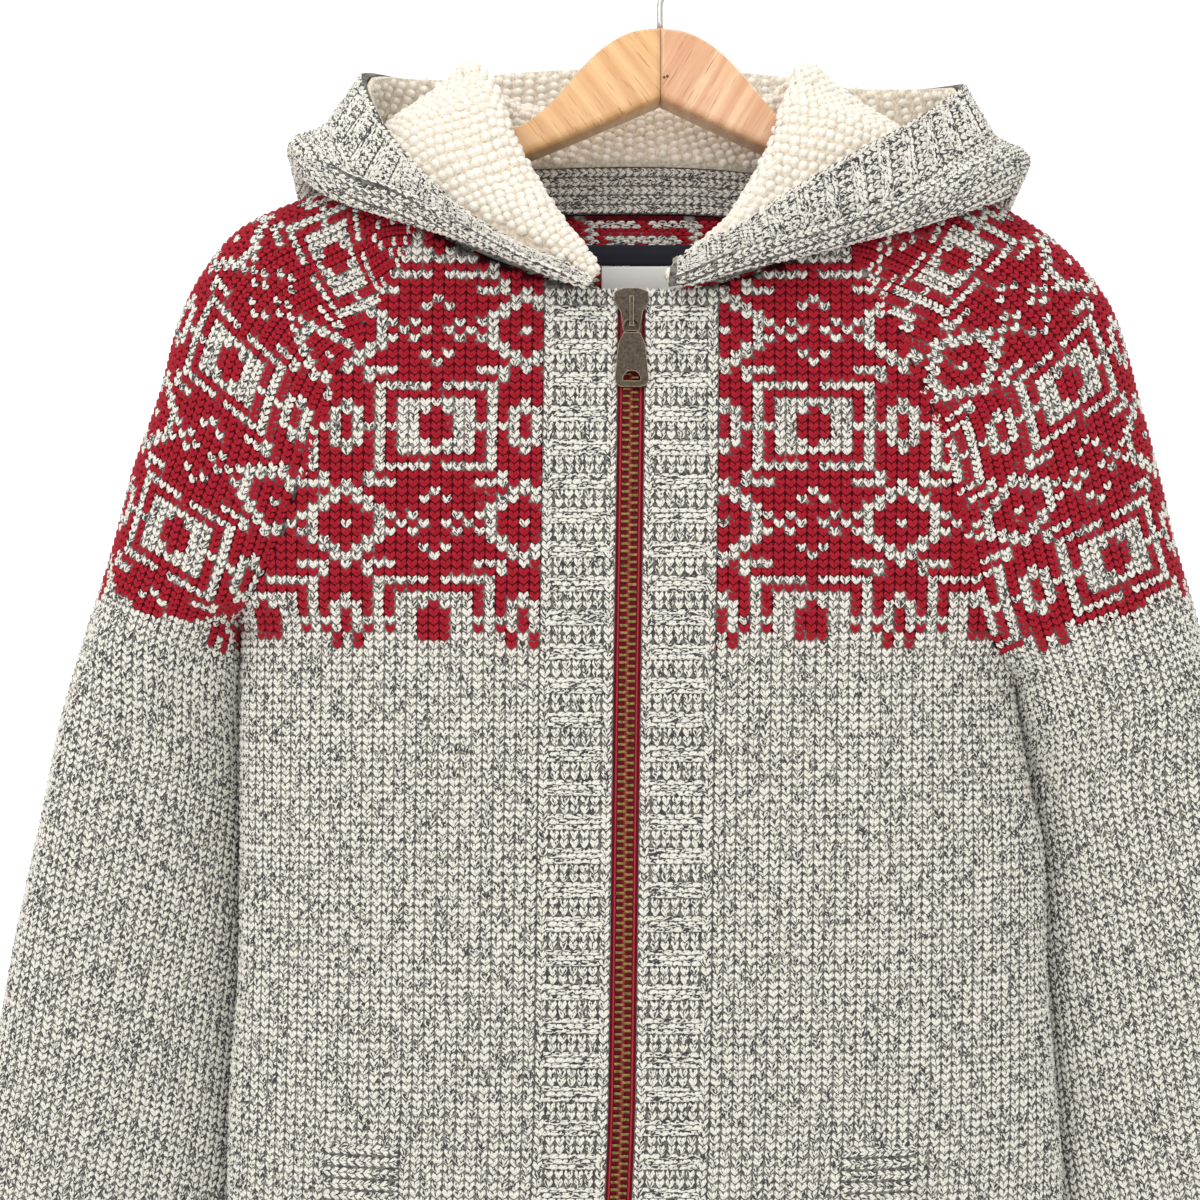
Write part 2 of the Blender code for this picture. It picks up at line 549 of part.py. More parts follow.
def wall(name, outer, inner, colour):
    """The closed solid between two matched grids. Points that coincide are joined, so a grid may close
    on itself, and each open edge gets a rim."""
    rows, cols = outer.shape[:2]
    key = np.round(outer.reshape(-1, 3) * 1e6).astype(np.int64)
    _, first, back = np.unique(key, axis=0, return_index=True, return_inverse=True)
    kept = np.sort(first)
    index = {old: new for new, old in enumerate(kept)}
    same = np.array([index[first[b]] for b in back.ravel()]).reshape(rows, cols)
    a, b, c, d = same[:-1, :-1], same[1:, :-1], same[1:, 1:], same[:-1, 1:]
    faces = np.concatenate([np.stack([a, b, c], -1).reshape(-1, 3), np.stack([a, c, d], -1).reshape(-1, 3)])
    whole = (faces[:, 0] != faces[:, 1]) & (faces[:, 1] != faces[:, 2]) & (faces[:, 2] != faces[:, 0])
    faces = faces[whole]
    edges = {(int(f[i]), int(f[(i + 1) % 3])) for f in faces for i in range(3)}
    count = len(kept)
    rim = []
    for u, v in sorted(edges):
        if (v, u) not in edges:
            rim += [(v, u, u + count), (v, u + count, v + count)]
    solid = np.concatenate([faces, faces[:, ::-1] + count, np.array(rim).reshape(-1, 3)])
    points = np.concatenate([outer.reshape(-1, 3)[kept], inner.reshape(-1, 3)[kept]])
    corner = points[solid]
    volume = np.einsum("ij,ij->i", corner[:, 0], np.cross(corner[:, 1], corner[:, 2])).sum()
    if volume < 0:
        solid = solid[:, ::-1]
    mesh = bpy.data.meshes.new(name)
    mesh.from_pydata(points.tolist(), [], solid.tolist())
    mesh.validate()
    return add_object(name, mesh, colour)


def material(colour):
    made = bpy.data.materials.get(colour)
    if made:
        return made
    base, rough, metal = COLOURS[colour]
    made = bpy.data.materials.new(colour)
    made.use_nodes = True
    shader = made.node_tree.nodes["Principled BSDF"]
    shader.inputs["Base Color"].default_value = (*base, 1)
    shader.inputs["Roughness"].default_value = rough
    shader.inputs["Metallic"].default_value = metal
    return made


def add_object(name, data, colour, group="zip_hoodie"):
    made = bpy.data.objects.new(name, data)
    data.materials.clear()
    data.materials.append(material(colour))
    collection = bpy.data.collections.get(group)
    if collection is None:
        collection = bpy.data.collections.new(group)
        bpy.context.scene.collection.children.link(collection)
    collection.objects.link(made)
    return made


# ---------------------------------------------------------------- body and sleeves
def outward(grid, normals, centre):
    """Normals turned to point away from the given centre line."""
    sign = np.sign(np.sum(normals * (grid - centre), axis=-1).mean())
    return normals * sign


def body_pieces():
    """Fronts, back and sleeves, cut from one form so that their edges meet a seam's width apart."""
    stations = np.array(STATIONS, float)
    above = stations < 1
    smooth = (stations <= .75)[:, None]
    fronts = {side: front_grid(side, stations) for _, side in SIDES}
    back = back_grid(stations)
    turns = np.linspace(1, -1, 19)
    sleeves = {side: sleeve_surface(side, stations, turns) for _, side in SIDES}
    middle = np.array([CENTRE_X, 0, 0])

    def facing(grid, y_sign):
        normals = surface_normals(grid)
        return normals * np.sign((normals[..., 1] * y_sign).mean())

    front_n = {side: facing(fronts[side], -1) for _, side in SIDES}
    back_n = facing(back, 1)
    sleeve_n = {}
    for _, side in SIDES:
        normals = surface_normals(sleeves[side])
        axis = sleeves[side].mean(axis=1, keepdims=True)
        normals = outward(sleeves[side], normals, axis)
        closed = surface_normals(sleeves[side], closed=True)
        closed = outward(sleeves[side], closed, axis)
        sleeve_n[side] = np.where(above[:, None, None], normals, closed)
    for _, side in SIDES:
        back_edge = 0 if side == -1 else -1
        pair = join(front_n[side][:, -1], sleeve_n[side][:, 0])
        front_n[side][:, -1] = np.where(smooth, pair, front_n[side][:, -1])
        sleeve_n[side][:, 0] = np.where(smooth, pair, sleeve_n[side][:, 0])
        pair = join(back_n[:, back_edge], sleeve_n[side][:, -1])
        back_n[:, back_edge] = np.where(smooth, pair, back_n[:, back_edge])
        sleeve_n[side][:, -1] = np.where(smooth, pair, sleeve_n[side][:, -1])
        pair = join(front_n[side][:, -1], back_n[:, back_edge])
        front_n[side][:, -1] = np.where(above[:, None], front_n[side][:, -1], pair)
        back_n[:, back_edge] = np.where(above[:, None], back_n[:, back_edge], pair)

    half = SEAM / 2
    for name, side in SIDES:
        grid = pull_in(fronts[side], half, "left")
        grid = pull_in(grid, half, "right")
        wall(f"front_{name}", grid, grid - front_n[side] * WALL, "marl")
        grid = sleeves[side]
        gap = np.where(above, half, 0.0)
        grid = pull_in(grid, gap, "left")
        grid = pull_in(grid, gap, "right")
        wall(f"sleeve_{name}", grid, grid - sleeve_n[side] * WALL, "marl")
    grid = pull_in(pull_in(back, half, "left"), half, "right")
    wall("body_back", grid, grid - back_n * WALL, "marl")
    return fronts, back, back_n, middle


def ribbed(name, grid, normals, counts, colour):
    """A rib-knitted strip: each column is cut into steps, and every second one is raised."""
    grid = pull_in(pull_in(grid, SEAM, "top"), 0, "bottom")
    grid, normals = refine(grid, counts, 1), unit(refine(normals, counts, 1))
    high = (np.arange(grid.shape[1]) % 2) * RAISE
    high[0] = high[-1] = 0
    wall(name, grid + normals * high[None, :, None], grid - normals * WALL, colour)


def hem_pieces():
    stations = np.array(RIB_STATIONS, float)
    last = np.array([1.85, 2, 3])
    for name, side in SIDES:
        normals = surface_normals(front_grid(side, last))[1:]
        normals *= np.sign((normals[..., 1] * -1).mean())
        normals[:, -1] = [side, 0, 0]
        grid = pull_in(pull_in(front_grid(side, stations), SEAM / 2, "left"), SEAM / 2, "right")
        ribbed(f"hem_front_{name}", grid, normals, (4, 4, 3, 2, 2, 1, 1), "marl")
    normals = surface_normals(back_grid(last))[1:]
    normals *= np.sign(normals[..., 1].mean())
    normals[:, 0], normals[:, -1] = [-1, 0, 0], [1, 0, 0]
    grid = pull_in(pull_in(back_grid(stations), SEAM / 2, "left"), SEAM / 2, "right")
    ribbed("hem_back", grid, normals, (2, 2, 3, 3, 4, 4, 4, 4, 4, 4, 3, 3, 2, 2), "marl")


def cuff_pieces():
    stations = np.array(RIB_STATIONS, float)
    turns = np.linspace(1, -1, 19)
    for name, side in SIDES:
        grid = sleeve_surface(side, stations, turns)
        normals = outward(grid, surface_normals(grid, closed=True), grid.mean(axis=1, keepdims=True))
        grid = pull_in(grid, SEAM, "top")
        grid, normals = refine(grid, (2,) * 18, 1), unit(refine(normals, (2,) * 18, 1))
        high = (np.arange(grid.shape[1]) % 2) * RAISE
        wall(f"cuff_{name}", grid + normals * high[None, :, None], grid - normals * WALL, "marl")


# ---------------------------------------------------------------- the front opening
def block_rows(stations):
    """How many half repeats of the block stitch lie between each two stations."""
    drop = np.abs(np.diff(read(BODY_COLUMNS, BODY, stations)["front_z"]))
    return np.maximum(1, np.round(drop / BLOCK)).astype(int)


def band_pieces():
    stations = np.array(STATIONS + (3,), float)
    counts = block_rows(stations)
    for name, side in SIDES:
        grid = band_grid(side, stations)
        normals = surface_normals(grid)
        normals *= np.sign((normals[..., 1] * -1).mean())
        grid = pull_in(grid, SEAM / 2, "right")
        grid, normals = refine(grid, counts), unit(refine(normals, counts))
        high = np.zeros(grid.shape[:2])
        high[1::2, 1:3] = RAISE
        wall(f"zip_band_{name}", grid + normals * high[..., None], grid - normals * WALL, "marl")


def opening_line(offset, depth, stations):
    """A line down the front opening: offset from the zip's middle, depth behind the cloth's face."""
    x = (zip_x(stations) + offset)[:, None]
    line = torso_surface(stations, x, 1)[:, 0]
    line[:, 1] += depth
    return line


def zip_pieces():
    """The two tapes behind the bands and the chain strip between them."""
    stations = np.array(STATIONS + (3,), float)
    counts = (2,) * (len(stations) - 1)
    behind = WALL + SEAM
    thick = np.array([0, TAPE_THICK, 0])
    for name, side in SIDES:
        grid = np.stack([opening_line(side * o, behind, stations) for o in (SEAM / 2, TAPE_HALF)], axis=1)
        wall(f"zip_tape_{name}", refine(grid, counts), refine(grid, counts) + thick, "tape")
    chain = stations.copy()
    chain[0] = .06
    grid = np.stack([opening_line(o, behind - SEAM - CHAIN_THICK, chain) for o in (-CHAIN_HALF, CHAIN_HALF)],
                    axis=1)
    wall("zip_chain", refine(grid, counts), refine(grid, counts) + np.array([0, CHAIN_THICK, 0]), "brass")


def flat_outline(name, outlines, thick, colour, y):
    """A flat piece facing the front: closed outlines in x and z, the second and later ones holes, as a
    filled 2D curve with an extrude of half its thickness."""
    curve = bpy.data.curves.new(name, "CURVE")
    curve.dimensions = "2D"
    curve.fill_mode = "BOTH"
    curve.extrude = thick / 2
    for outline in outlines:
        spline = curve.splines.new("POLY")
        spline.points.add(len(outline) - 1)
        spline.points.foreach_set("co", np.array([(x, z, 0, 1) for x, z in outline]).ravel())
        spline.use_cyclic_u = True
    made = add_object(name, curve, colour)
    made.rotation_euler = (math.pi / 2, 0, 0)
    made.location = (0, y, 0)
    return made


def to_mesh(made):
    """The object as a mesh in world place with its loose caps welded; the curve is removed."""
    bpy.context.view_layer.update()
    graph = bpy.context.evaluated_depsgraph_get()
    mesh = bpy.data.meshes.new_from_object(made.evaluated_get(graph))
    mesh.transform(made.matrix_world)
    name, colour = made.name, made.data.materials[0].name
    bpy.data.objects.remove(made)
    work = bmesh.new()
    work.from_mesh(mesh)
    bmesh.ops.remove_doubles(work, verts=work.verts, dist=1e-6)
    work.to_mesh(mesh)
    work.free()
    made = add_object(name, mesh, colour)
    made.name = name
    return made


def union(name, pieces):
    """The pieces joined into one body by exact Boolean unions."""
    base = pieces[0]
    for tool in pieces[1:]:
        cut = base.modifiers.new("join", "BOOLEAN")
        cut.operation = "UNION"
        cut.solver = "EXACT"
        cut.object = tool
    base = to_mesh(base)
    for tool in pieces[1:]:
        bpy.data.objects.remove(tool)
    base.name = name
    return base


def arc(centre, radius, start, end, steps):
    angles = np.radians(np.linspace(start, end, steps + 1))
    return [(centre[0] + radius * math.cos(a), centre[1] + radius * math.sin(a)) for a in angles]


def box(name, low, high, colour):
    bpy.ops.mesh.primitive_cube_add(size=1)
    made = bpy.context.object
    low, high = np.array(low), np.array(high)
    made.data.transform(Matrix.Translation((low + high) / 2) @ Matrix.Diagonal((*(high - low), 1)))
    data = made.data
    bpy.data.objects.remove(made)
    return add_object(name, data, colour)


def tube(name, points, radius, colour, cyclic=False):
    curve = bpy.data.curves.new(name, "CURVE")
    curve.dimensions = "3D"
    curve.bevel_depth = radius
    curve.bevel_resolution = 2
    curve.use_fill_caps = True
    spline = curve.splines.new("POLY")
    spline.points.add(len(points) - 1)
    spline.points.foreach_set("co", np.array([(*p, 1) for p in points]).ravel())
    spline.use_cyclic_u = cyclic
    return add_object(name, curve, colour)


def slider_place():
    """The zip's middle at the slider and the y of the cloth's face there."""
    x = CENTRE_X + zip_x([.05])[0]
    face = torso_surface(np.array([.05]), np.array([[zip_x([.05])[0]]]), 1)[0, 0, 1]
    return x, face


def slider_piece():
    """A shield-shaped plate over the chain, with a bridge that traps the pull's ring."""
    x, face = slider_place()
    top, half = SLIDER_TOP, SLIDER_WIDTH / 2
    outline = ([(x - half * .45, top - SLIDER_LENGTH)] + [(x + half * .45, top - SLIDER_LENGTH)]
               + [(x + half * .62, top - SLIDER_LENGTH * .55), (x + half, top - SLIDER_LENGTH * .3)]
               + [(x + half * .92, top - SLIDER_LENGTH * .08), (x + half * .4, top)]
               + [(x - half * .4, top), (x - half * .92, top - SLIDER_LENGTH * .08)]
               + [(x - half, top - SLIDER_LENGTH * .3), (x - half * .62, top - SLIDER_LENGTH * .55)])
    back = face - RAISE - SEAM
    plate = to_mesh(flat_outline("zip_slider", [outline], SLIDER_THICK, "bronze", back - SLIDER_THICK / 2))
    front = back - SLIDER_THICK
    low = top - .0045 - BRIDGE_LENGTH
    post = .0022
    pieces = [plate]
    for z in (low, low + BRIDGE_LENGTH - post):
        pieces.append(box("post", (x - BRIDGE_WIDTH / 2, front - BRIDGE_RISE, z),
                          (x + BRIDGE_WIDTH / 2, front + SLIDER_THICK / 2, z + post), "bronze"))
    pieces.append(box("bar", (x - BRIDGE_WIDTH / 2, front - BRIDGE_RISE, low),
                      (x + BRIDGE_WIDTH / 2, front - BRIDGE_RISE + .0012, low + BRIDGE_LENGTH), "bronze"))
    return union("zip_slider", pieces), (x, front, low + post)


def pull_piece(seat):
    """The pull: a ring that passes under the bridge, and a tab with a slot near its end. Its hinge is
    the ring's top, which lies in the bridge."""
    x, front, low = seat
    y = front - .0013
    hinge_z = low + .0016
    centre = (x, hinge_z - RING_RADIUS)
    ring = [(px, y, pz) for px, pz in arc(centre, RING_RADIUS, 0, 337.5, 15)]
    ring = to_mesh(tube("pull_ring", ring, RING_WIRE, "bronze", cyclic=True))
    top = centre[1] - RING_RADIUS + RING_WIRE * 1.5
    half = PULL_WIDTH / 2
    bottom = top - PULL_LENGTH + 2 * RING_RADIUS
    outline = ([(x - .0042, top), (x - half * .80, top - .006)]
               + arc((x - half + .004, bottom + .004), .004, 180, 270, 4)
               + arc((x + half - .004, bottom + .004), .004, 270, 360, 4)
               + [(x + half * .80, top - .006), (x + .0042, top)])
    slot_z = bottom + .0030
    slot = ([(x + .0045, slot_z), (x - .0045, slot_z)] + arc((x, slot_z + .0008), .0045, 165, 15, 6))
    tab = to_mesh(flat_outline("pull_tab", [outline, slot], PULL_THICK, "bronze", y))
    made = union("zip_pull", [tab, ring])
    hinge = Vector((x, y, hinge_z))
    made.data.transform(Matrix.Translation(hinge) @ Matrix.Rotation(-PULL_LEAN, 4, "X") @ Matrix.Translation(-hinge))
    return made, hinge


# ---------------------------------------------------------------- hood, neck, pockets
def hood_pieces():
    grid, normals, start, thin = hood_paths()
    middle = len(HOOD_RING) - 1
    half = SEAM / 2
    knit = (HOOD_KNIT * thin)[:, None, None]
    lining = (HOOD_LINING * thin)[:, None, None]
    squeeze = np.interp(np.arange(start + 1), *KNIT_PRESSED)[None, :, None]
    for name, rows in (("right", slice(0, middle + 1)), ("left", slice(middle, None))):
        part = grid[rows, :start + 1]
        part = pull_in(part, half, "bottom" if name == "right" else "top")
        part = pull_in(part, SEAM, "right")
        n = normals[rows, :start + 1]
        wall(f"hood_{name}", part + n * knit[rows] * squeeze, part + n * half, "marl")
    counts = (3,) * (len(grid) - 1)
    part = pull_in(grid[:, start:], SEAM, "left")
    n = unit(refine(normals[:, start:], counts))
    thick = refine(np.broadcast_to(knit, (len(grid), 1, 1)), counts)
    part = refine(part, counts)
    high = np.zeros(part.shape[:2])
    high[1::2, 1:-1] = RAISE
    wall("hood_band", part + n * (thick + high[..., None]), part + n * half, "marl")
    grid, normals = np.delete(grid, -2, axis=1), np.delete(normals, -2, axis=1)
    part = pull_in(grid, .0015, "right")
    under = np.full(grid.shape[:2], half)
    under[:, start:] = .0011
    squeeze = np.interp(np.arange(grid.shape[1]), *LINING_PRESSED)[None, :, None]
    inner = part - normals * (lining * squeeze + (under - half)[..., None])
    wall("hood_lining", part - normals * under[..., None], inner, "lining")


def neck_rib():
    """The ribbed strip between the neckline and the hood's seam, at the back and over the shoulders."""
    ps = [p for p in HOOD_RING if p < NECK_RIB_END]
    rows = []
    for side in (-1, 1):
        order = ps if side == 1 else ps[::-1]
        low = neck_ring(side, order)
        lay = read(LAY_COLUMNS, LAY, order)
        turn = np.radians(lay["turn"])
        way = np.stack([side * np.sin(turn), np.cos(turn), np.zeros(len(turn))], axis=-1)
        high = low.copy()
        high[:, 2] += lay["stand"] - SEAM
        low = low.copy()
        low[:, 2] += .0008
        share = np.linspace(0, 1, 5)[None, :, None]
        strip = low[:, None] * (1 - share) + high[:, None] * share
        way = np.broadcast_to(way[:, None], strip.shape)
        rows.append((strip, way) if side == -1 else (strip[1:], way[1:]))
    grid = np.concatenate([r[0] for r in rows])
    way = np.concatenate([r[1] for r in rows])
    high = np.array([0, RAISE, 0, RAISE, 0])[None, :, None]
    wall("neck_rib", grid, grid - way * (WALL - RAISE + high), "marl")


def on_back(x, z, stations_fine):
    """Points of the back's outer face under the given x (from the centre plane) and z."""
    grid = torso_surface(stations_fine, np.tile(x, (len(stations_fine), 1)), -1)
    points = np.empty((len(z), len(x), 3))
    for j in range(len(x)):
        for k, name in enumerate("xyz"):
            points[:, j, k] = np.interp(-np.asarray(z), -grid[:, j, 2], grid[:, j, k])
    return points


def neck_trims():
    """The tape and the blank label on the inside of the back."""
    fine = np.array(STATIONS, float)
    for name, z, half, behind, colour in (
            ("neck_tape", NECK_TAPE_Z, NECK_TAPE_HALF, 0, "navy"),
            ("neck_label", LABEL_Z, LABEL_HALF, 0, "label")):
        x = np.linspace(-half, half, 9)
        points = on_back(x, np.array([z[1], z[0]]), fine)
        points[..., 1] -= WALL + .0008 + behind
        points[..., 2] = np.array([z[1], z[0]])[:, None]
        wall(name, points, points - np.array([0, TRIM_THICK, 0]), colour)


def bilinear(grid, i, j):
    i0, j0 = np.minimum(i.astype(int), grid.shape[0] - 2), np.minimum(j.astype(int), grid.shape[1] - 2)
    u, v = (i - i0)[..., None], (j - j0)[..., None]
    return (grid[i0, j0] * (1 - u) * (1 - v) + grid[i0 + 1, j0] * u * (1 - v)
            + grid[i0, j0 + 1] * (1 - u) * v + grid[i0 + 1, j0 + 1] * u * v)


def pocket_welts(fronts):
    """Each welt lies on its front: the front's own points, moved out, with ribs across."""
    ribs = 12
    for name, side in SIDES:
        grid = fronts[side]
        rows = np.interp(-np.linspace(WELT_TOP_Z, WELT_TOP_Z - WELT_LENGTH, ribs + 1),
                         -grid[:, 3, 2], np.arange(len(grid)))
        strip = np.empty((ribs + 1, 5, 3))
        for k, row in enumerate(rows):
            fine = np.linspace(0, grid.shape[1] - 1, 200)
            line = bilinear(grid, np.full(200, row), fine)
            out = np.abs(line[:, 0] - CENTRE_X)
            want = WELT_MIDDLE[side] + np.linspace(-.5, .5, 5) * WELT_WIDTH
            cols = np.interp(want, out, fine)
            strip[k] = bilinear(grid, np.full(5, row), cols)
        normals = surface_normals(strip)
        normals *= np.sign((normals[..., 1] * -1).mean())
        high = np.zeros(strip.shape[:2])
        high[1::2] = RAISE
        lift = .0006
        wall(f"pocket_welt_{name}", strip + normals * (lift + WELT_THICK - RAISE + high[..., None]),
             strip + normals * lift, "marl")


# ---------------------------------------------------------------- the hanger
def arm_rows(side):
    """The table's stations, then hidden ones whose top follows the inside of the shoulder it carries."""
    rows = [list(r) for r in HANGER_ARM]
    ridge = sleeve_surface(side, np.array(STATIONS, float), [0])[:, 0]
    xs = np.abs(ridge[:5, 0])
    for x in (.150, .170, .190, .205, HANGER_REACH):
        top = np.interp(x, xs, ridge[:5, 2]) - WALL * 1.12 - HANGER_SEAT - HANGER_DROP
        top += side * x * math.tan(HANGER_TILT)
        drop = {.205: .003, HANGER_REACH: .010}.get(x, .0)
        rows.append([x, top - drop, top - HANGER_HEIGHT + drop * .4, .0140 if x < .2 else .0120])
    return np.array(rows)


def arm_section(top, bottom, half, rise):
    """A rounded rectangle with a crowned top: eleven points round, in y and z."""
    rise = min(rise, .6 * (top - bottom))
    crown = [(y * half, top - rise * fall) for y, fall in
             ((-1, 1.0), (-.93, .75), (-.68, .38), (0, 0), (.68, .38), (.93, .75), (1, 1.0))]
    return [(-half, bottom + .0015)] + crown + [(half, bottom + .0015), (half - .002, bottom),
                                                (-half + .002, bottom)]


def hanger_arms():
    for name, side in SIDES:
        rows = arm_rows(side)
        rings = []
        for x, top, bottom, half in rows:
            ring = [(side * x, y, z - side * x * math.tan(HANGER_TILT))
                    for y, z in arm_section(top, bottom, half, np.interp(x, HANGER_CROWN[0], HANGER_CROWN[1]))]
            rings.append(ring)
        work = bmesh.new()
        made = [[work.verts.new(p) for p in ring] for ring in rings]
        count = len(made[0])
        for a, b in zip(made, made[1:]):
            for i in range(count):
                work.faces.new((a[i], a[(i + 1) % count], b[(i + 1) % count], b[i]))
        work.faces.new(made[0])
        work.faces.new(made[-1])
        bmesh.ops.recalc_face_normals(work, faces=work.faces)
        mesh = bpy.data.meshes.new(f"hanger_arm_{name}")
        work.to_mesh(mesh)
        work.free()
        add_object(f"hanger_arm_{name}", mesh, "wood")


def hanger_hook():
    """The wire: a stem out of the wood, a bend to one side, then round over the rail's seat."""
    top = HANGER_ARM[0][1]
    centre_z = WIRE - HOOK_RADIUS
    stem_top = top + HOOK_STEM
    start = math.radians(-58)
    first = (HOOK_RADIUS * math.cos(start), centre_z + HOOK_RADIUS * math.sin(start))
    bend = []
    for t in np.linspace(0, 1, 7)[1:-1]:
        a, b, c = (0, stem_top), (0.0005, first[1] - .0045), first
        bend.append(tuple(a[k] * (1 - t) ** 2 + 2 * b[k] * t * (1 - t) + c[k] * t**2 for k in (0, 1)))
    line = [(0, top + SEAM), (0, stem_top)] + bend + arc((0, centre_z), HOOK_RADIUS, -58, 205, 26)
    made = tube("hanger_hook", [(x, 0, z) for x, z in line], WIRE, "steel")
    return to_mesh(made)


def main():
    for old in list(bpy.data.objects):
        bpy.data.objects.remove(old)
    fronts, _, _, _ = body_pieces()
    hem_pieces()
    cuff_pieces()
    band_pieces()
    zip_pieces()
    _, seat = slider_piece()
    pull_piece(seat)
    hood_pieces()
    neck_rib()
    neck_trims()
    pocket_welts(fronts)
    hanger_arms()
    hanger_hook()


if __name__ == "__main__":
    main()
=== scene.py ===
"""Looks of a chunky knitted zip hoodie on a wooden hanger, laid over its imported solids.

Every knitted piece is a smooth wall on its solid's form, covered with stitches that are modelled one
by one. Metres, +Z up, the front faces -Y, the origin is the inside top of the hanger's hook. Right and
left are the wearer's: the right side is at -X.
"""
import json
import math

import bpy
import numpy as np
from bpy.props import FloatProperty, FloatVectorProperty, PointerProperty
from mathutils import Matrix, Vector

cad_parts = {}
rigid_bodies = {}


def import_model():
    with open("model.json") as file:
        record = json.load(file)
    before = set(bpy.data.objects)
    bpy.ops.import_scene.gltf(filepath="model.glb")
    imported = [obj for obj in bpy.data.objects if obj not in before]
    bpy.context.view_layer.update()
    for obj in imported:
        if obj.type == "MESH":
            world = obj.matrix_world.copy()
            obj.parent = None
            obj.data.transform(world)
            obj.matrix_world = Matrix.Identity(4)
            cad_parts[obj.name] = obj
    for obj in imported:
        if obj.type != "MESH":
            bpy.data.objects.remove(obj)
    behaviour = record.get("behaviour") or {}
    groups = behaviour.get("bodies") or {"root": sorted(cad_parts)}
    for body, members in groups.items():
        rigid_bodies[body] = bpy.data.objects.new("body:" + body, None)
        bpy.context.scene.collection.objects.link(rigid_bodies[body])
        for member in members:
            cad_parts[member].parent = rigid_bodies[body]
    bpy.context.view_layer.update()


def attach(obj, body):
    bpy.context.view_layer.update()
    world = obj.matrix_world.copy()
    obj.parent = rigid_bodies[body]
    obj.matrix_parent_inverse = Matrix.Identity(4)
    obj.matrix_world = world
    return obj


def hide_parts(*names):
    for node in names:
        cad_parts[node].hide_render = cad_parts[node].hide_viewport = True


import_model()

bl_info = {
    "name": "Knitted zip hoodie",
    "version": (1, 0, 0),
    "blender": (4, 5, 0),
    "location": "3D View > Sidebar > Hoodie",
    "description": "Dresses the solids of a zip hoodie on a hanger in stitches, pile, metal and wood",
    "category": "Object",
}

# ---------------------------------------------------------------- driving sizes
CENTRE_X = -0.009        # the garment hangs a little off the hanger's middle
WALL = 0.0038            # thickness of the body knit
GROUND_UNDER = 0.0002    # how far a knitted piece's ground lies under its stitches' feet
HOOD_KNIT = 0.0032       # thickness of the hood's outer knit
HOOD_LINING = 0.0030     # thickness of the hood's lining
SEAM = 0.0003            # space left between two pieces at a seam
SIDE_Y = 0.002           # depth of the body's side fold

SIDES = (("right", -1), ("left", 1))

# Stations run down the garment: 0 neckline, 1 underarm, 2 top of the hem and cuff ribs, 3 their ends.
# ---------------------------------------------------------------- tables, one row a section
BODY_COLUMNS = ("station", "front_z", "back_z", "front_depth", "back_depth", "round")
BODY = (
    (0.00, -.2030, -.1515, .036, .034, 1.0),
    (0.12, -.2170, -.1800, .038, .036, 1.0),
    (0.25, -.2350, -.2100, .041, .039, 1.0),
    (0.40, -.2580, -.2450, .043, .041, 1.0),
    (0.55, -.2870, -.2810, .045, .042, 1.0),
    (0.70, -.3190, -.3165, .046, .042, 1.1),
    (0.82, -.3470, -.3460, .0465, .042, 1.3),
    (0.92, -.3710, -.3710, .047, .042, 1.6),
    (1.00, -.3885, -.3885, .047, .042, 2.0),
    (1.40, -.5475, -.5475, .047, .041, 2.0),
    (1.70, -.6620, -.6620, .045, .040, 2.0),
    (1.85, -.7050, -.7050, .044, .039, 2.0),
    (2.00, -.7450, -.7450, .042, .037, 2.0),
    (3.00, -.8000, -.8000, .040, .036, 2.0),
)

SIDE_COLUMNS = ("station", "out", "z")
SIDE_SEAM = {
    -1: ((1.00, .2091, -.3716), (1.12, .2099, -.4320), (1.25, .2099, -.4820), (1.40, .2105, -.5450),
         (1.55, .2148, -.6070), (1.70, .2162, -.6620), (1.85, .2140, -.7050), (2.00, .2060, -.7450),
         (3.00, .2075, -.8000)),
    1: ((1.00, .1935, -.4050), (1.12, .2005, -.4500), (1.25, .2095, -.4950), (1.40, .2105, -.5500),
        (1.55, .2148, -.6070), (1.70, .2185, -.6620), (1.85, .2160, -.7050), (2.00, .2080, -.7450),
        (3.00, .2095, -.8000)),
}

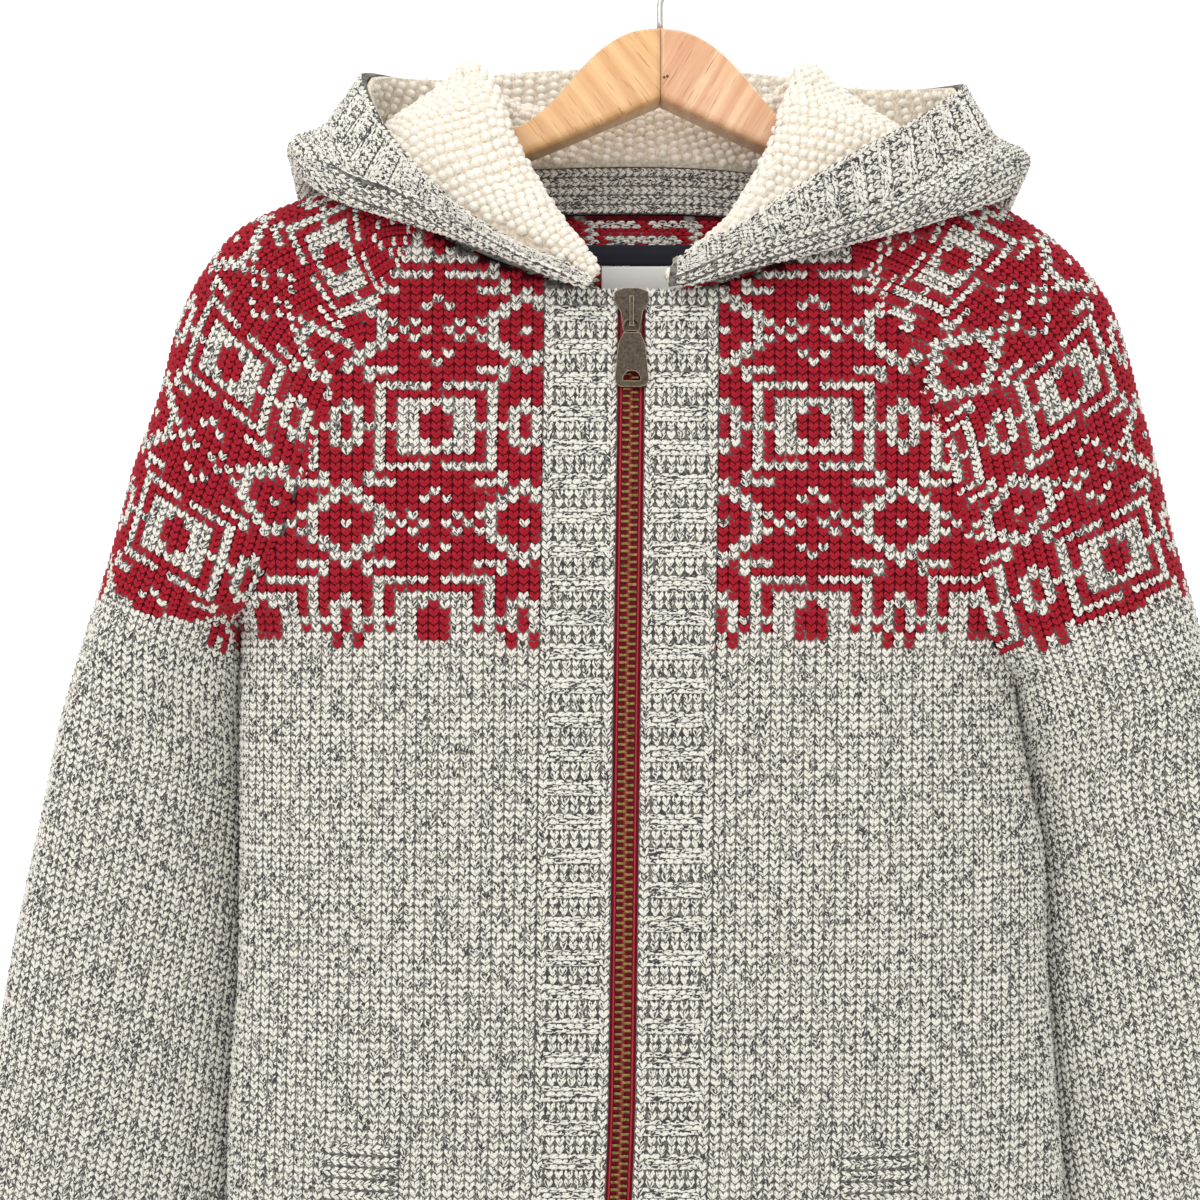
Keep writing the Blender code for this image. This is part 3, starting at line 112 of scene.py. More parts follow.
# inner is the raglan line, and below the underarm the sleeve's inner fold; outer is the outer fold.
# wrap is how far the sleeve goes round from its outer fold, in degrees each way.
SLEEVE_COLUMNS = ("station", "inner_out", "inner_y", "inner_z", "outer_out", "outer_y", "outer_z",
                  "depth", "wrap", "back_rise")
SLEEVE = {
    -1: (
        (0.00, .1137, .002, -.1680, .1250, .002, -.1305, .036, 88, .014),
        (0.12, .1275, .002, -.1940, .1650, .002, -.1455, .040, 90, .010),
        (0.25, .1400, .002, -.2180, .2100, .002, -.1655, .043, 93, .007),
        (0.40, .1540, .002, -.2445, .2395, .002, -.2080, .045, 97, .004),
        (0.55, .1660, .002, -.2770, .2523, .002, -.2539, .046, 103, .002),
        (0.70, .1770, .002, -.3110, .2660, .002, -.2930, .046, 112, 0),
        (0.82, .1880, .002, -.3350, .2745, .002, -.3271, .046, 124, 0),
        (0.92, .2000, .002, -.3560, .2810, .002, -.3500, .046, 142, 0),
        (1.00, .2112, .003, -.3716, .2880, .002, -.3720, .045, 180, 0),
        (1.12, .2088, .030, -.4320, .3015, -.006, -.4240, .042, 180, 0),
        (1.25, .2070, .030, -.4820, .3117, -.006, -.4740, .040, 180, 0),
        (1.40, .2075, .030, -.5450, .3246, -.005, -.5320, .037, 180, 0),
        (1.55, .2115, .029, -.6070, .3358, -.004, -.5920, .034, 180, 0),
        (1.70, .2135, .027, -.6620, .3475, -.002, -.6450, .031, 180, 0),
        (1.85, .2240, .024, -.7090, .3550, .000, -.6900, .028, 180, 0),
        (2.00, .2520, .020, -.7480, .3540, .002, -.7270, .024, 180, 0),
        (3.00, .2680, .020, -.8150, .3600, .004, -.7940, .021, 180, 0),
    ),
    1: (
        (0.00, .1000, .002, -.1720, .1250, .002, -.1245, .036, 88, .014),
        (0.12, .1130, .002, -.1960, .1650, .002, -.1425, .040, 90, .010),
        (0.25, .1265, .002, -.2220, .2170, .002, -.1735, .043, 93, .007),
        (0.40, .1425, .002, -.2570, .2445, .002, -.2075, .045, 97, .004),
        (0.55, .1535, .002, -.2900, .2590, .002, -.2560, .046, 103, .002),
        (0.70, .1610, .002, -.3220, .2700, .002, -.2990, .046, 112, 0),
        (0.82, .1670, .002, -.3490, .2785, .002, -.3350, .046, 124, 0),
        (0.92, .1770, .002, -.3780, .2880, .002, -.3680, .046, 142, 0),
        (1.00, .1956, .003, -.4050, .2965, .002, -.4050, .045, 180, 0),
        (1.12, .1995, .030, -.4500, .3070, -.006, -.4500, .042, 180, 0),
        (1.25, .2065, .030, -.4950, .3155, -.006, -.4940, .040, 180, 0),
        (1.40, .2075, .030, -.5500, .3255, -.005, -.5400, .037, 180, 0),
        (1.55, .2115, .029, -.6070, .3360, -.004, -.5940, .034, 180, 0),
        (1.70, .2155, .027, -.6620, .3480, -.002, -.6460, .031, 180, 0),
        (1.85, .2280, .024, -.7090, .3555, .000, -.6900, .028, 180, 0),
        (2.00, .2530, .020, -.7480, .3545, .002, -.7270, .024, 180, 0),
        (3.00, .2690, .020, -.8150, .3605, .004, -.7940, .021, 180, 0),
    ),
}

# The zip's middle line, from the garment's centre plane.
ZIP_COLUMNS = ("station", "x")
ZIP_LINE = ((0, -.0064), (.4, -.0069), (.92, -.0084), (1.4, -.0106), (1.55, -.0114), (1.85, -.0150),
            (3, -.0165))
ZIP_GAP = 0.0067         # from the zip's middle to the edge of a band
BAND_WIDTH = 0.0373      # width of the knitted band beside the zip
TAPE_HALF = 0.0140       # half width of the zip tape
TAPE_THICK = 0.0008
CHAIN_THICK = 0.0024

# The hood lies back in a fold: seam, crest, bottom of the fold (the overhang), free rim.
# p is 0 at the centre back and 1 at the top of the zip. The lines are those of the outer faces.
HOOD_COLUMNS = ("p", "crest_out", "crest_y", "crest_z", "fold_out", "fold_y", "fold_z",
                "rim_out", "rim_y", "rim_z")
HOOD = {
    -1: (
        (0.00, .0000, .050, -.0870, .0000, .094, -.3150, .0000, .112, -.0520),
        (0.15, .0400, .048, -.0920, .0750, .090, -.3000, .0569, .108, -.0545),
        (0.30, .0740, .038, -.0870, .1350, .078, -.2450, .1075, .090, -.0640),
        (0.45, .0870, .012, -.0765, .1750, .034, -.1720, .1401, .050, -.0715),
        (0.52, .0760, -.010, -.0930, .1721, -.012, -.1466, .1455, .012, -.0836),
        (0.60, .0692, -.026, -.1164, .1558, -.038, -.1555, .1339, -.022, -.1129),
        (0.69, .0588, -.033, -.1388, .1294, -.049, -.1652, .1173, -.046, -.1376),
        (0.77, .0485, -.038, -.1570, .0992, -.054, -.1756, .0951, -.055, -.1619),
        (0.84, .0399, -.041, -.1696, .0669, -.055, -.1886, .0633, -.058, -.1827),
        (0.90, .0284, -.043, -.1841, .0442, -.054, -.1979, .0382, -.057, -.1924),
        (0.98, .0194, -.045, -.2009, .0204, -.051, -.2053, .0199, -.053, -.2036),
    ),
    1: (
        (0.00, .0000, .050, -.0870, .0000, .094, -.3150, .0000, .112, -.0520),
        (0.15, .0360, .048, -.0920, .0750, .090, -.3000, .0612, .108, -.0552),
        (0.30, .0690, .038, -.0870, .1350, .078, -.2450, .1189, .085, -.0700),
        (0.45, .0830, .012, -.0770, .1850, .034, -.1780, .1602, .045, -.0795),
        (0.52, .0730, -.012, -.1010, .1858, -.012, -.1544, .1669, .012, -.0878),
        (0.60, .0626, -.028, -.1306, .1539, -.038, -.1651, .1468, -.020, -.1083),
        (0.69, .0525, -.033, -.1504, .1171, -.049, -.1751, .1121, -.045, -.1309),
        (0.77, .0421, -.038, -.1671, .0842, -.054, -.1845, .0767, -.054, -.1528),
        (0.84, .0304, -.041, -.1777, .0519, -.055, -.1921, .0468, -.057, -.1731),
        (0.90, .0187, -.043, -.1891, .0272, -.054, -.1998, .0250, -.057, -.1830),
        (0.98, .0051, -.045, -.2009, .0035, -.051, -.2028, .0054, -.053, -.2002),
    ),
}
# turn is the way a layer lies on the next (0 backwards, 90 outwards, 180 forwards), lift its rise at
# the crest, belly how far the middle layer stands off, thin the thickness there, stand the height of
# the neck rib under the hood.
LAY_COLUMNS = ("p", "turn", "lift", "belly", "thin", "stand")
LAY = (
    (0.00, 0, .20, .000, 1.0, .0260),
    (0.15, 12, .20, .004, 1.0, .0255),
    (0.30, 35, .35, .010, 1.0, .0230),
    (0.45, 65, .60, .012, 1.0, .0120),
    (0.52, 95, .75, .010, 1.0, .0070),
    (0.60, 135, .62, .010, 1.0, .0040),
    (0.69, 165, .25, .003, 1.0, .0025),
    (0.77, 178, .10, .001, .9, .0020),
    (0.84, 180, .00, .000, .75, .0020),
    (0.90, 180, .00, .000, .6, .0020),
    (0.98, 180, .00, .000, .42, .0020),
)
HOOD_RING = (0, .1, .2, .3, .38, .44, .48, .51, .54, .58, .64, .71, .78, .85, .9, .95)
LAYER_SPACE = 0.0100     # from one layer's middle to the next where they lie close
HOOD_BAND = 0.036        # width of the block-stitch band round the hood's face
RING_FRONT = 0.72        # p where the neckline passes from a front to the sleeve
RING_BACK = 0.30         # p where it passes from the sleeve to the back
NECK_RIB_END = 0.58      # p where the neck rib ends under the hood

# ---------------------------------------------------------------- the hanger
HANGER_TILT = math.radians(1.2)
HANGER_ARM = (           # x, top, bottom, half the depth
    (.00015, -.0612, -.0992, .0125),
    (.0150, -.0636, -.1060, .0125),
    (.0290, -.0714, -.1122, .0125),
    (.0415, -.0833, -.1178, .0125),
    (.0540, -.0982, -.1232, .0125),
    (.0625, -.1064, -.1268, .0125),
    (.0800, -.1172, -.1345, .0128),
    (.1100, -.1310, -.1490, .0128),
)
HANGER_REACH = 0.214     # half the hanger's length
HANGER_HEIGHT = 0.018    # height of the arm where it is hidden
HANGER_SEAT = 0.0005     # space between the arm and the cloth that it carries
HANGER_CROWN = ((.08, .15), (.0035, .0080))   # how far the top's edges lie under its middle
HANGER_DROP = 0.0035     # the arm's top is flatter than the cloth that bends over it
WIRE = 0.0017            # radius of the hook's wire
HOOK_RADIUS = 0.0202     # radius of the hook's bend, at the wire's middle
HOOK_STEM = 0.013        # straight stretch of the hook over the wood

# ---------------------------------------------------------------- pockets and neck trims
WELT_LENGTH = 0.104
WELT_WIDTH = 0.0380
WELT_TOP_Z = -.632
WELT_MIDDLE = {-1: .1427, 1: .1177}   # from the garment's centre plane

NECK_TAPE_Z = (-.1784, -.1676)
NECK_TAPE_HALF = 0.085
LABEL_Z = (-.1925, -.1790)
LABEL_HALF = 0.0215
TRIM_THICK = 0.0009
TRIM_CLEAR = 0.0008      # space between a trim and the wall, and over the neckline

# ---------------------------------------------------------------- reading the tables
def read(columns, rows, at):
    """A table read at the given stations by a monotone cubic through its rows: a dict of arrays."""
    table = np.array(rows, float)
    x, y = table[:, 0], table[:, 1:]
    step = np.diff(x)[:, None]
    slope = np.diff(y, axis=0) / step
    before, after = slope[:-1], slope[1:]
    level = before * after <= 0
    weight_a = 2 * step[1:] + step[:-1]
    weight_b = step[1:] + 2 * step[:-1]
    safe_before = np.where(level, 1.0, before)
    safe_after = np.where(level, 1.0, after)
    mean = (weight_a + weight_b) / (weight_a / safe_before + weight_b / safe_after)
    tangent = np.vstack([slope[:1], np.where(level, 0.0, mean), slope[-1:]])
    at = np.clip(np.asarray(at, float), x[0], x[-1])
    k = np.clip(np.searchsorted(x, at, side="right") - 1, 0, len(x) - 2)
    width = (x[k + 1] - x[k])[:, None]
    t = (at - x[k])[:, None] / width
    value = (y[k] * (2 * t**3 - 3 * t**2 + 1) + y[k + 1] * (3 * t**2 - 2 * t**3)
             + width * (tangent[k] * (t**3 - 2 * t**2 + t) + tangent[k + 1] * (t**3 - t**2)))
    return {name: value[:, i] for i, name in enumerate(columns[1:])}


def unit(vectors):
    return vectors / np.maximum(np.linalg.norm(vectors, axis=-1, keepdims=True), 1e-12)


def point(out, y, z, side):
    """World points from the table's out, y and z."""
    return np.stack([CENTRE_X + side * out, y, z], axis=-1)


def lengths(line):
    """How far along a line each of its points lies."""
    return np.concatenate([[0], np.cumsum(np.linalg.norm(np.diff(line, axis=0), axis=1))])


def lie(side, lay):
    """The level direction in which the hood's layers lie on each other, from the table's turn."""
    turn = np.radians(lay["turn"])
    return np.stack([side * np.sin(turn), np.cos(turn), 0 * turn], axis=-1)


# ---------------------------------------------------------------- the garment's surfaces
def sleeve_surface(side, stations, turns):
    """Each section is an ellipse about the line from the inner to the outer fold. A turn of 1 is the
    front raglan seam, 0 the outer fold and -1 the back seam; wrap says how far round they are."""
    t = read(SLEEVE_COLUMNS, SLEEVE[side], stations)
    inner = point(t["inner_out"], t["inner_y"], t["inner_z"], side)
    outer = point(t["outer_out"], t["outer_y"], t["outer_z"], side)
    reach = outer - inner
    across = unit(reach)
    wrap = np.radians(t["wrap"])
    half = np.linalg.norm(reach, axis=1) / (1 - np.cos(wrap))
    centre = outer - across * half[:, None]
    forward = np.array([[0.0, -1.0, 0.0]])
    angle = wrap[:, None] * np.asarray(turns)[None, :]
    grid = (centre[:, None] + across[:, None] * (half[:, None] * np.cos(angle))[..., None]
            + forward[:, None] * (t["depth"][:, None] * np.sin(angle))[..., None])
    back = np.clip(-np.asarray(turns), 0, 1) ** 2
    grid[..., 2] += t["back_rise"][:, None] * back[None, :]
    return grid


def torso_edge(side, stations, face):
    """The raglan line down to the underarm, then the side seam. face is 1 in front, -1 behind."""
    stations = np.asarray(stations, float)
    raglan = sleeve_surface(side, stations, [face])[:, 0]
    seam = read(SIDE_COLUMNS, SIDE_SEAM[side], stations)
    seam = point(seam["out"], np.full(len(stations), SIDE_Y), seam["z"], side)
    return np.where((stations < 1)[:, None], raglan, seam)


def torso_surface(stations, x, face):
    """Front or back: depth falls from the centre to the edge as (1 - s^2.6)^(1/round), where s is the
    part of the way out, and the height runs from the centre's to the edge's as s squared."""
    stations = np.asarray(stations, float)
    t = read(BODY_COLUMNS, BODY, stations)
    centre_z = t["front_z"] if face == 1 else t["back_z"]
    centre_y = -t["front_depth"] if face == 1 else t["back_depth"]
    grid = np.empty(x.shape + (3,))
    for side in (-1, 1):
        edge = torso_edge(side, stations, face)
        reach = np.abs(edge[:, 0] - CENTRE_X)[:, None]
        s = np.clip(np.abs(x) / reach, 0, 1)
        fall = (1 - s**2.6) ** (1 / t["round"][:, None])
        y = edge[:, 1:2] + (centre_y[:, None] - edge[:, 1:2]) * fall
        z = centre_z[:, None] + (edge[:, 2:3] - centre_z[:, None]) * s**2
        mine = (x * side >= 0)
        grid[mine] = np.stack([x + CENTRE_X, y, z], axis=-1)[mine]
    return grid


def zip_x(stations):
    return read(ZIP_COLUMNS, ZIP_LINE, stations)["x"]


def edge_x(side, stations, face):
    return torso_edge(side, stations, face)[:, 0] - CENTRE_X


def front_grid(side, stations, columns):
    """A front, from the zip band's edge to the raglan or side seam, closer columns at the side."""
    start = zip_x(stations) + side * (ZIP_GAP + BAND_WIDTH)
    end = edge_x(side, stations, 1)
    share = 1 - (1 - np.linspace(0, 1, columns + 1)) ** 1.5
    x = start[:, None] + (end - start)[:, None] * share[None, :]
    return torso_surface(stations, x, 1)


def back_grid(stations, columns):
    """The back, from the right edge to the left one, closer columns at both."""
    right, left = edge_x(-1, stations, -1), edge_x(1, stations, -1)
    share = (1 - np.cos(np.linspace(0, math.pi, columns + 1))) / 2
    share = 0.5 * share + 0.5 * np.linspace(0, 1, columns + 1)
    return torso_surface(stations, right[:, None] + (left - right)[:, None] * share[None, :], -1)


def band_grid(side, stations, columns):
    """A zip band, from the zip's gap outwards."""
    start = zip_x(stations) + side * ZIP_GAP
    x = start[:, None] + side * BAND_WIDTH * np.linspace(0, 1, columns + 1)[None, :]
    return torso_surface(stations, x, 1)


def neck_ring(side, ps):
    """The neckline, at the middle of the wall: along the front, over the sleeve, along the back."""
    top = np.zeros(1)
    zip_edge = abs(zip_x(top)[0] + side * ZIP_GAP)
    front_out, back_out = (abs(edge_x(side, top, face)[0]) for face in (1, -1))
    ring = []
    for p in ps:
        if RING_BACK <= p < RING_FRONT:
            turn = 2 * (p - RING_BACK) / (RING_FRONT - RING_BACK) - 1
            ring.append(sleeve_surface(side, top, [turn])[0, 0])
            continue
        out = back_out * p / RING_BACK
        if p >= RING_FRONT:
            out = front_out + (zip_edge - front_out) * (p - RING_FRONT) / (1 - RING_FRONT)
        ring.append(torso_surface(top, np.array([[side * out]]), 1 if p >= RING_FRONT else -1)[0, 0])
    return np.array(ring)


def layers(side, ps):
    """The control points of the hood's sections, from the neck seam to the rim."""
    t = read(HOOD_COLUMNS, HOOD[side], ps)
    lay = read(LAY_COLUMNS, LAY, ps)
    way = lie(side, lay)
    seam = neck_ring(side, ps)
    seam -= way * (WALL / 2)
    seam[:, 2] += lay["stand"]
    crest, fold, rim = (point(t[f"{name}_out"], t[f"{name}_y"], t[f"{name}_z"], side)
                        for name in ("crest", "fold", "rim"))
    thin = lay["thin"][:, None]
    down = unit(fold - crest)
    crest = crest + down * HOOD_LINING * thin
    fold = fold - down * HOOD_KNIT * thin
    up_way = unit(way * (1 - lay["lift"][:, None]) + np.array([0, 0, 1.0]) * lay["lift"][:, None])
    space = LAYER_SPACE * thin
    crest_in, crest_out = crest - up_way * space / 2, crest + up_way * space / 2
    fold_in, fold_out = fold - way * space / 2, fold + way * space / 2

    def towards(a, b, most):
        length = np.linalg.norm(b - a, axis=1, keepdims=True)
        return a + (b - a) * np.minimum(most, 1.2 * space / length)

    middle = (crest_out + fold_in) / 2 + up_way * lay["belly"][:, None]
    return np.stack([seam, towards(crest_in, seam, .5), crest_in, crest_out,
                     towards(crest_out, fold_in, .3), middle, towards(fold_in, crest_out, .3),
                     fold_in, fold_out, towards(fold_out, rim, .5), rim], axis=1)


def along_layers(control, v):
    """A chain of quadratic curves between the middles of the control lines; v runs 0 to 9 for each
    section (an array the size of the result's rows and columns)."""
    knots = (control[:, 1:-2] + control[:, 2:-1]) / 2
    starts = np.concatenate([control[:, :1], knots], axis=1)
    ends = np.concatenate([knots, control[:, -1:]], axis=1)
    piece = np.clip(np.floor(v).astype(int), 0, starts.shape[1] - 1)
    t = (v - piece)[..., None]
    row = np.arange(len(control))[:, None]
    a, b, c = starts[row, piece], control[row, piece + 1], ends[row, piece]
    grid = a * (1 - t) ** 2 + b * 2 * t * (1 - t) + c * t**2
    return grid, (b - a) * 2 * (1 - t) + (c - b) * 2 * t


HOOD_END = 9.0           # v at the rim
PANEL_V = (0, .9, 1.35, 1.8, 2.2, 2.65, 3.2, 4.5, 5.9, 6.35, 6.8, 7.2, 7.6)
BAND_SHARE = (0, .3, .9, 1)
FIRST_LAYER = 3.2        # v up to which the hood stands on the hanger's side of the crest
OVER_KNIT = .0012        # space between the hood and the knit that it lies on
OVER_SHOULDER = .0020    # and more of it at the shoulder's top
OVER_CONTROL = .0008     # and more of it under the control lines, which the curves cut inside
OVER_ARM = .0026         # space between the lining and the hanger's arms
KNIT_PRESSED = ((0, 1, 6, 8), (.8, .6, .6, 1))       # by column: the knit is pressed in the crest's fold
LINING_PRESSED = ((6, 7, 12, 14), (1, .42, .42, 1))   # and the lining in the lower fold
BAND_FROM = (7.95, 8.96)  # the band begins past the bottom of the fold


def band_start(control):
    """The v where the hood's band begins: its width back from the rim along each section."""
    fine = np.linspace(0, HOOD_END, 361)
    path, _ = along_layers(control, np.tile(fine, (len(control), 1)))
    run = np.linalg.norm(np.diff(path, axis=1), axis=2)
    left = np.concatenate([np.cumsum(run[:, ::-1], axis=1)[:, ::-1], np.zeros((len(control), 1))], axis=1)
    start = np.empty(len(control))
    for i in range(len(control)):
        width = min(HOOD_BAND, .42 * left[i, 0])
        start[i] = np.clip(fine[np.argmax(left[i] <= width)], *BAND_FROM)
    return start


def garment_points():
    """Points and outward normals of the fronts, back and sleeves, for what is laid on them."""
    stations = np.linspace(0, 1.3, 53)
    grids = [sleeve_surface(side, stations, np.linspace(1, -1, 61)) for _, side in SIDES]
    grids += [front_grid(side, stations, 30) for _, side in SIDES]
    grids += [band_grid(side, stations, 8) for _, side in SIDES] + [back_grid(stations, 60)]
    points, normals = [], []
    for grid in grids:
        normal = surface_normals(grid)
        away = grid - np.array([CENTRE_X, 0, 0]) * [1, 0, 0] - np.array([0, 0, -.6])
        normals.append((normal * np.sign((normal * away).sum(-1).mean())).reshape(-1, 3))
        points.append(grid.reshape(-1, 3))
    return np.concatenate(points), np.concatenate(normals)


def lay_on(points, clearance, cloth):
    """The points moved out along the cloth's nearest normal until they are clear of it."""
    flat = points.reshape(-1, 3).copy()
    need = np.broadcast_to(clearance, points.shape[:-1]).ravel()
    base, normals = cloth
    size = (base ** 2).sum(1)
    for _ in range(2):
        near = np.concatenate([np.argmin(size[None, :] - 2 * part @ base.T, axis=1)
                               for part in np.array_split(flat, 12)])
        short = need - ((flat - base[near]) * normals[near]).sum(1)
        flat += normals[near] * np.maximum(short, 0)[:, None]
    return flat.reshape(points.shape)


def clear_of_hanger(grid, clearance):
    """The first layer moved over or beside the hanger's arms."""
    moved = grid.copy()
    for side in (-1, 1):
        rows = arm_rows(side)
        x = np.abs(moved[..., 0])
        tilt = moved[..., 0] * math.tan(HANGER_TILT)
        top = np.interp(x, rows[:, 0], rows[:, 1]) - tilt + clearance
        low = np.interp(x, rows[:, 0], rows[:, 2]) - tilt - clearance
        half = np.interp(x, rows[:, 0], rows[:, 3]) + clearance
        up, out = top - moved[..., 2], half - np.abs(moved[..., 1])
        inside = (moved[..., 0] * side > 0) & (up > 0) & (out > 0) & (moved[..., 2] > low)
        rise = inside & (up < out * 1.5)
        slide = inside & ~rise
        moved[..., 2] += np.where(rise, up, 0)
        moved[..., 1] += np.where(slide, out * np.sign(moved[..., 1] + 1e-9), 0)
    return moved


def hood_paths():
    """The hood's middle surface from the top of the zip on the right round to the left: the grid, its
    normals towards the outer knit, the column where the band begins, and the thickness there."""
    cloth = garment_points()
    grids, runs, thins = [], [], []
    for side in (-1, 1):
        ps = np.array(HOOD_RING if side == 1 else HOOD_RING[::-1], float)
        control, thin = layers(side, ps), read(LAY_COLUMNS, LAY, ps)["thin"][:, None]
        under = HOOD_KNIT * thin + OVER_KNIT + OVER_SHOULDER * ((ps > .4) & (ps < .6))[:, None]
        low = under + OVER_CONTROL
        for layer, space in ((slice(4, 8), low), (slice(8, 10), low + LAYER_SPACE * thin)):
            control[:, layer] = lay_on(control[:, layer], space, cloth)
        start = band_start(control)
        panel = np.tile(PANEL_V, (len(ps), 1))
        v = np.concatenate([panel, start[:, None] + np.outer(HOOD_END - start, BAND_SHARE)], axis=1)
        grid, run = along_layers(control, v)
        grid = np.where((v > FIRST_LAYER)[..., None], lay_on(grid, under, cloth), grid)
        grid = np.where((v < FIRST_LAYER)[..., None], clear_of_hanger(grid, HOOD_LINING + OVER_ARM), grid)
        new = slice(0 if side == -1 else 1, None)   # the left half leaves out the centre line
        for made, part in ((grids, grid), (runs, run), (thins, thin[:, 0])):
            made.append(part[new])
    grid, run, thin = (np.concatenate(made) for made in (grids, runs, thins))
    normals = unit(np.cross(np.gradient(grid, axis=0), run))
    middle = len(HOOD_RING) - 1
    normals *= np.sign(normals[middle, 1, 1])
    ps = np.concatenate([HOOD_RING[::-1], HOOD_RING[1:]])
    normals[:, 0] = lie(np.where(np.arange(len(ps)) < middle, -1, 1), read(LAY_COLUMNS, LAY, ps))
    return grid, normals, len(PANEL_V), thin


# ---------------------------------------------------------------- grids, normals and meshes
def surface_normals(grid, closed=False):
    """Unit normals of a grid by its rows and columns; a closed grid's last column is its first."""
    down = np.gradient(grid, axis=0)
    if closed:
        ring = np.concatenate([grid[:, -2:-1], grid, grid[:, 1:2]], axis=1)
        across = (ring[:, 2:] - ring[:, :-2]) / 2
    else:
        across = np.gradient(grid, axis=1)
    return unit(np.cross(down, across))


def finer(values, counts, axis=0, by=None):
    """Steps between neighbouring rows on a cubic through them: each cubic leaves a row in the direction
    of its two neighbours (a Catmull-Rom curve over the spacing by)."""
    values = np.moveaxis(values, axis, 0)
    t = np.arange(len(values), dtype=float) if by is None else np.asarray(by, float)
    step = np.diff(t).reshape((-1,) + (1,) * (values.ndim - 1))
    slope = np.diff(values, axis=0) / step
    tangent = np.concatenate([slope[:1], (slope[:-1] * step[1:] + slope[1:] * step[:-1])
                              / (step[1:] + step[:-1]), slope[-1:]])
    counts = np.broadcast_to(counts, (len(values) - 1,))
    k = np.repeat(np.arange(len(values) - 1), counts)
    s = np.concatenate([np.arange(c) / c for c in counts])
    k, s = np.append(k, len(values) - 2), np.append(s, 1.0)
    s = s.reshape((-1,) + (1,) * (values.ndim - 1))
    made = (values[k] * (2 * s**3 - 3 * s**2 + 1) + values[k + 1] * (3 * s**2 - 2 * s**3)
            + step[k] * (tangent[k] * (s**3 - 2 * s**2 + s) + tangent[k + 1] * (s**3 - s**2)))
    return np.moveaxis(made, 0, axis)


def by_length(grid, axis):
    """How far along the given axis each row or column lies, on the average of the others."""
    run = np.linalg.norm(np.diff(grid, axis=axis), axis=2).mean(axis=1 - axis)
    return np.concatenate([[0], np.cumsum(np.maximum(run, 1e-5))])


def smoothed(grids, rows, cols):
    """Matched grids with more rows and columns, on cubics spaced by the first grid's lengths."""
    across, along = by_length(grids[0], 1), by_length(grids[0], 0)
    return [finer(finer(g, rows, 0, along), cols, 1, across) for g in grids]


def mesh_from(name, points, faces):
    """A mesh from an array of points and an array of faces that all have the same number of corners."""
    mesh = bpy.data.meshes.new(name)
    mesh.vertices.add(len(points))
    mesh.vertices.foreach_set("co", np.ascontiguousarray(points, dtype=np.float32).ravel())
    mesh.loops.add(faces.size)
    mesh.loops.foreach_set("vertex_index", np.ascontiguousarray(faces, dtype=np.int32).ravel())
    mesh.polygons.add(len(faces))
    mesh.polygons.foreach_set("loop_start", np.arange(0, faces.size, faces.shape[1], dtype=np.int32))
    mesh.update(calc_edges=True)
    mesh.shade_smooth()
    return mesh


def give_values(mesh, name, values):
    """A number at each point, for the materials."""
    layer = mesh.attributes.new(name, "FLOAT", "POINT")
    layer.data.foreach_set("value", np.ascontiguousarray(values, dtype=np.float32).ravel())


def give_map(mesh, name, values):
    """A flat map from a pair of numbers at each point."""
    layer = mesh.uv_layers.new(name=name)
    index = np.empty(len(mesh.loops), dtype=np.int32)
    mesh.loops.foreach_get("vertex_index", index)
    layer.data.foreach_set("uv", np.ascontiguousarray(values[index], dtype=np.float32).ravel())


def add_piece(name, mesh, finish_name):
    """A piece of the garment: its object and its material, on the hoodie's body."""
    made = bpy.data.objects.new(name, mesh)
    mesh.materials.append(bpy.data.materials[finish_name])
    bpy.context.scene.collection.objects.link(made)
    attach(made, "hoodie")
    return made


def numbered(rows, cols, closed=False):
    """A grid of point numbers; a closed one repeats its first column as its last."""
    index = np.arange(rows * cols).reshape(rows, cols)
    return np.concatenate([index, index[:, :1]], axis=1) if closed else index


def squares(index):
    """The four corners of each square of a grid of point numbers."""
    return np.stack([index[:-1, :-1], index[1:, :-1], index[1:, 1:], index[:-1, 1:]], -1).reshape(-1, 4)


def triangles(index):
    """Two triangles for each of its squares."""
    whole = squares(index)
    return np.concatenate([whole[:, [0, 1, 2]], whole[:, [0, 2, 3]]])


def shell(name, outer, inner, finish_name, shade=None, closed=False):
    """The closed wall between two matched grids, as a piece; a closed grid's last column is its first
    again. shade is the yarn's number at each point of the outer grid."""
    count = slice(None, -1) if closed else slice(None)
    outer, inner = outer[:, count], inner[:, count]
    index = numbered(*outer.shape[:2], closed)
    top, below = squares(index), outer[..., 0].size
    rims = [(index[0, :-1], index[0, 1:]), (index[-1, 1:], index[-1, :-1])]
    if not closed:
        rims += [(index[1:, 0], index[:-1, 0]), (index[:-1, -1], index[1:, -1])]
    edge = [np.stack([u, v, v + below, u + below], -1) for u, v in rims]
    faces = np.concatenate([top, top[:, ::-1] + below] + edge)
    points = np.concatenate([outer.reshape(-1, 3), inner.reshape(-1, 3)])
    corner = points[top]
    face_out = np.cross(corner[:, 2] - corner[:, 0], corner[:, 3] - corner[:, 1])
    away = points[top[:, 0]] - points[top[:, 0] + below]
    if (face_out * away).sum() < 0:
        faces = faces[:, ::-1]
    mesh = mesh_from(name, points, faces)
    if shade is not None:
        give_values(mesh, "shade", np.tile(shade[:, count].ravel(), 2))
    return add_piece(name, mesh, finish_name)


def shadowed_knit_ground(name, outer, inner, shade=None, closed=False):
    """The wall behind a knitted piece's stitches, marl where no shade is given; its dark colour is painted
    shade between the stitches.
    """
    shade = np.full(outer.shape[:2], MARL) if shade is None else shade
    return shell(f"{name}_ground", outer, inner, "shadowed_knit_ground", shade, closed)


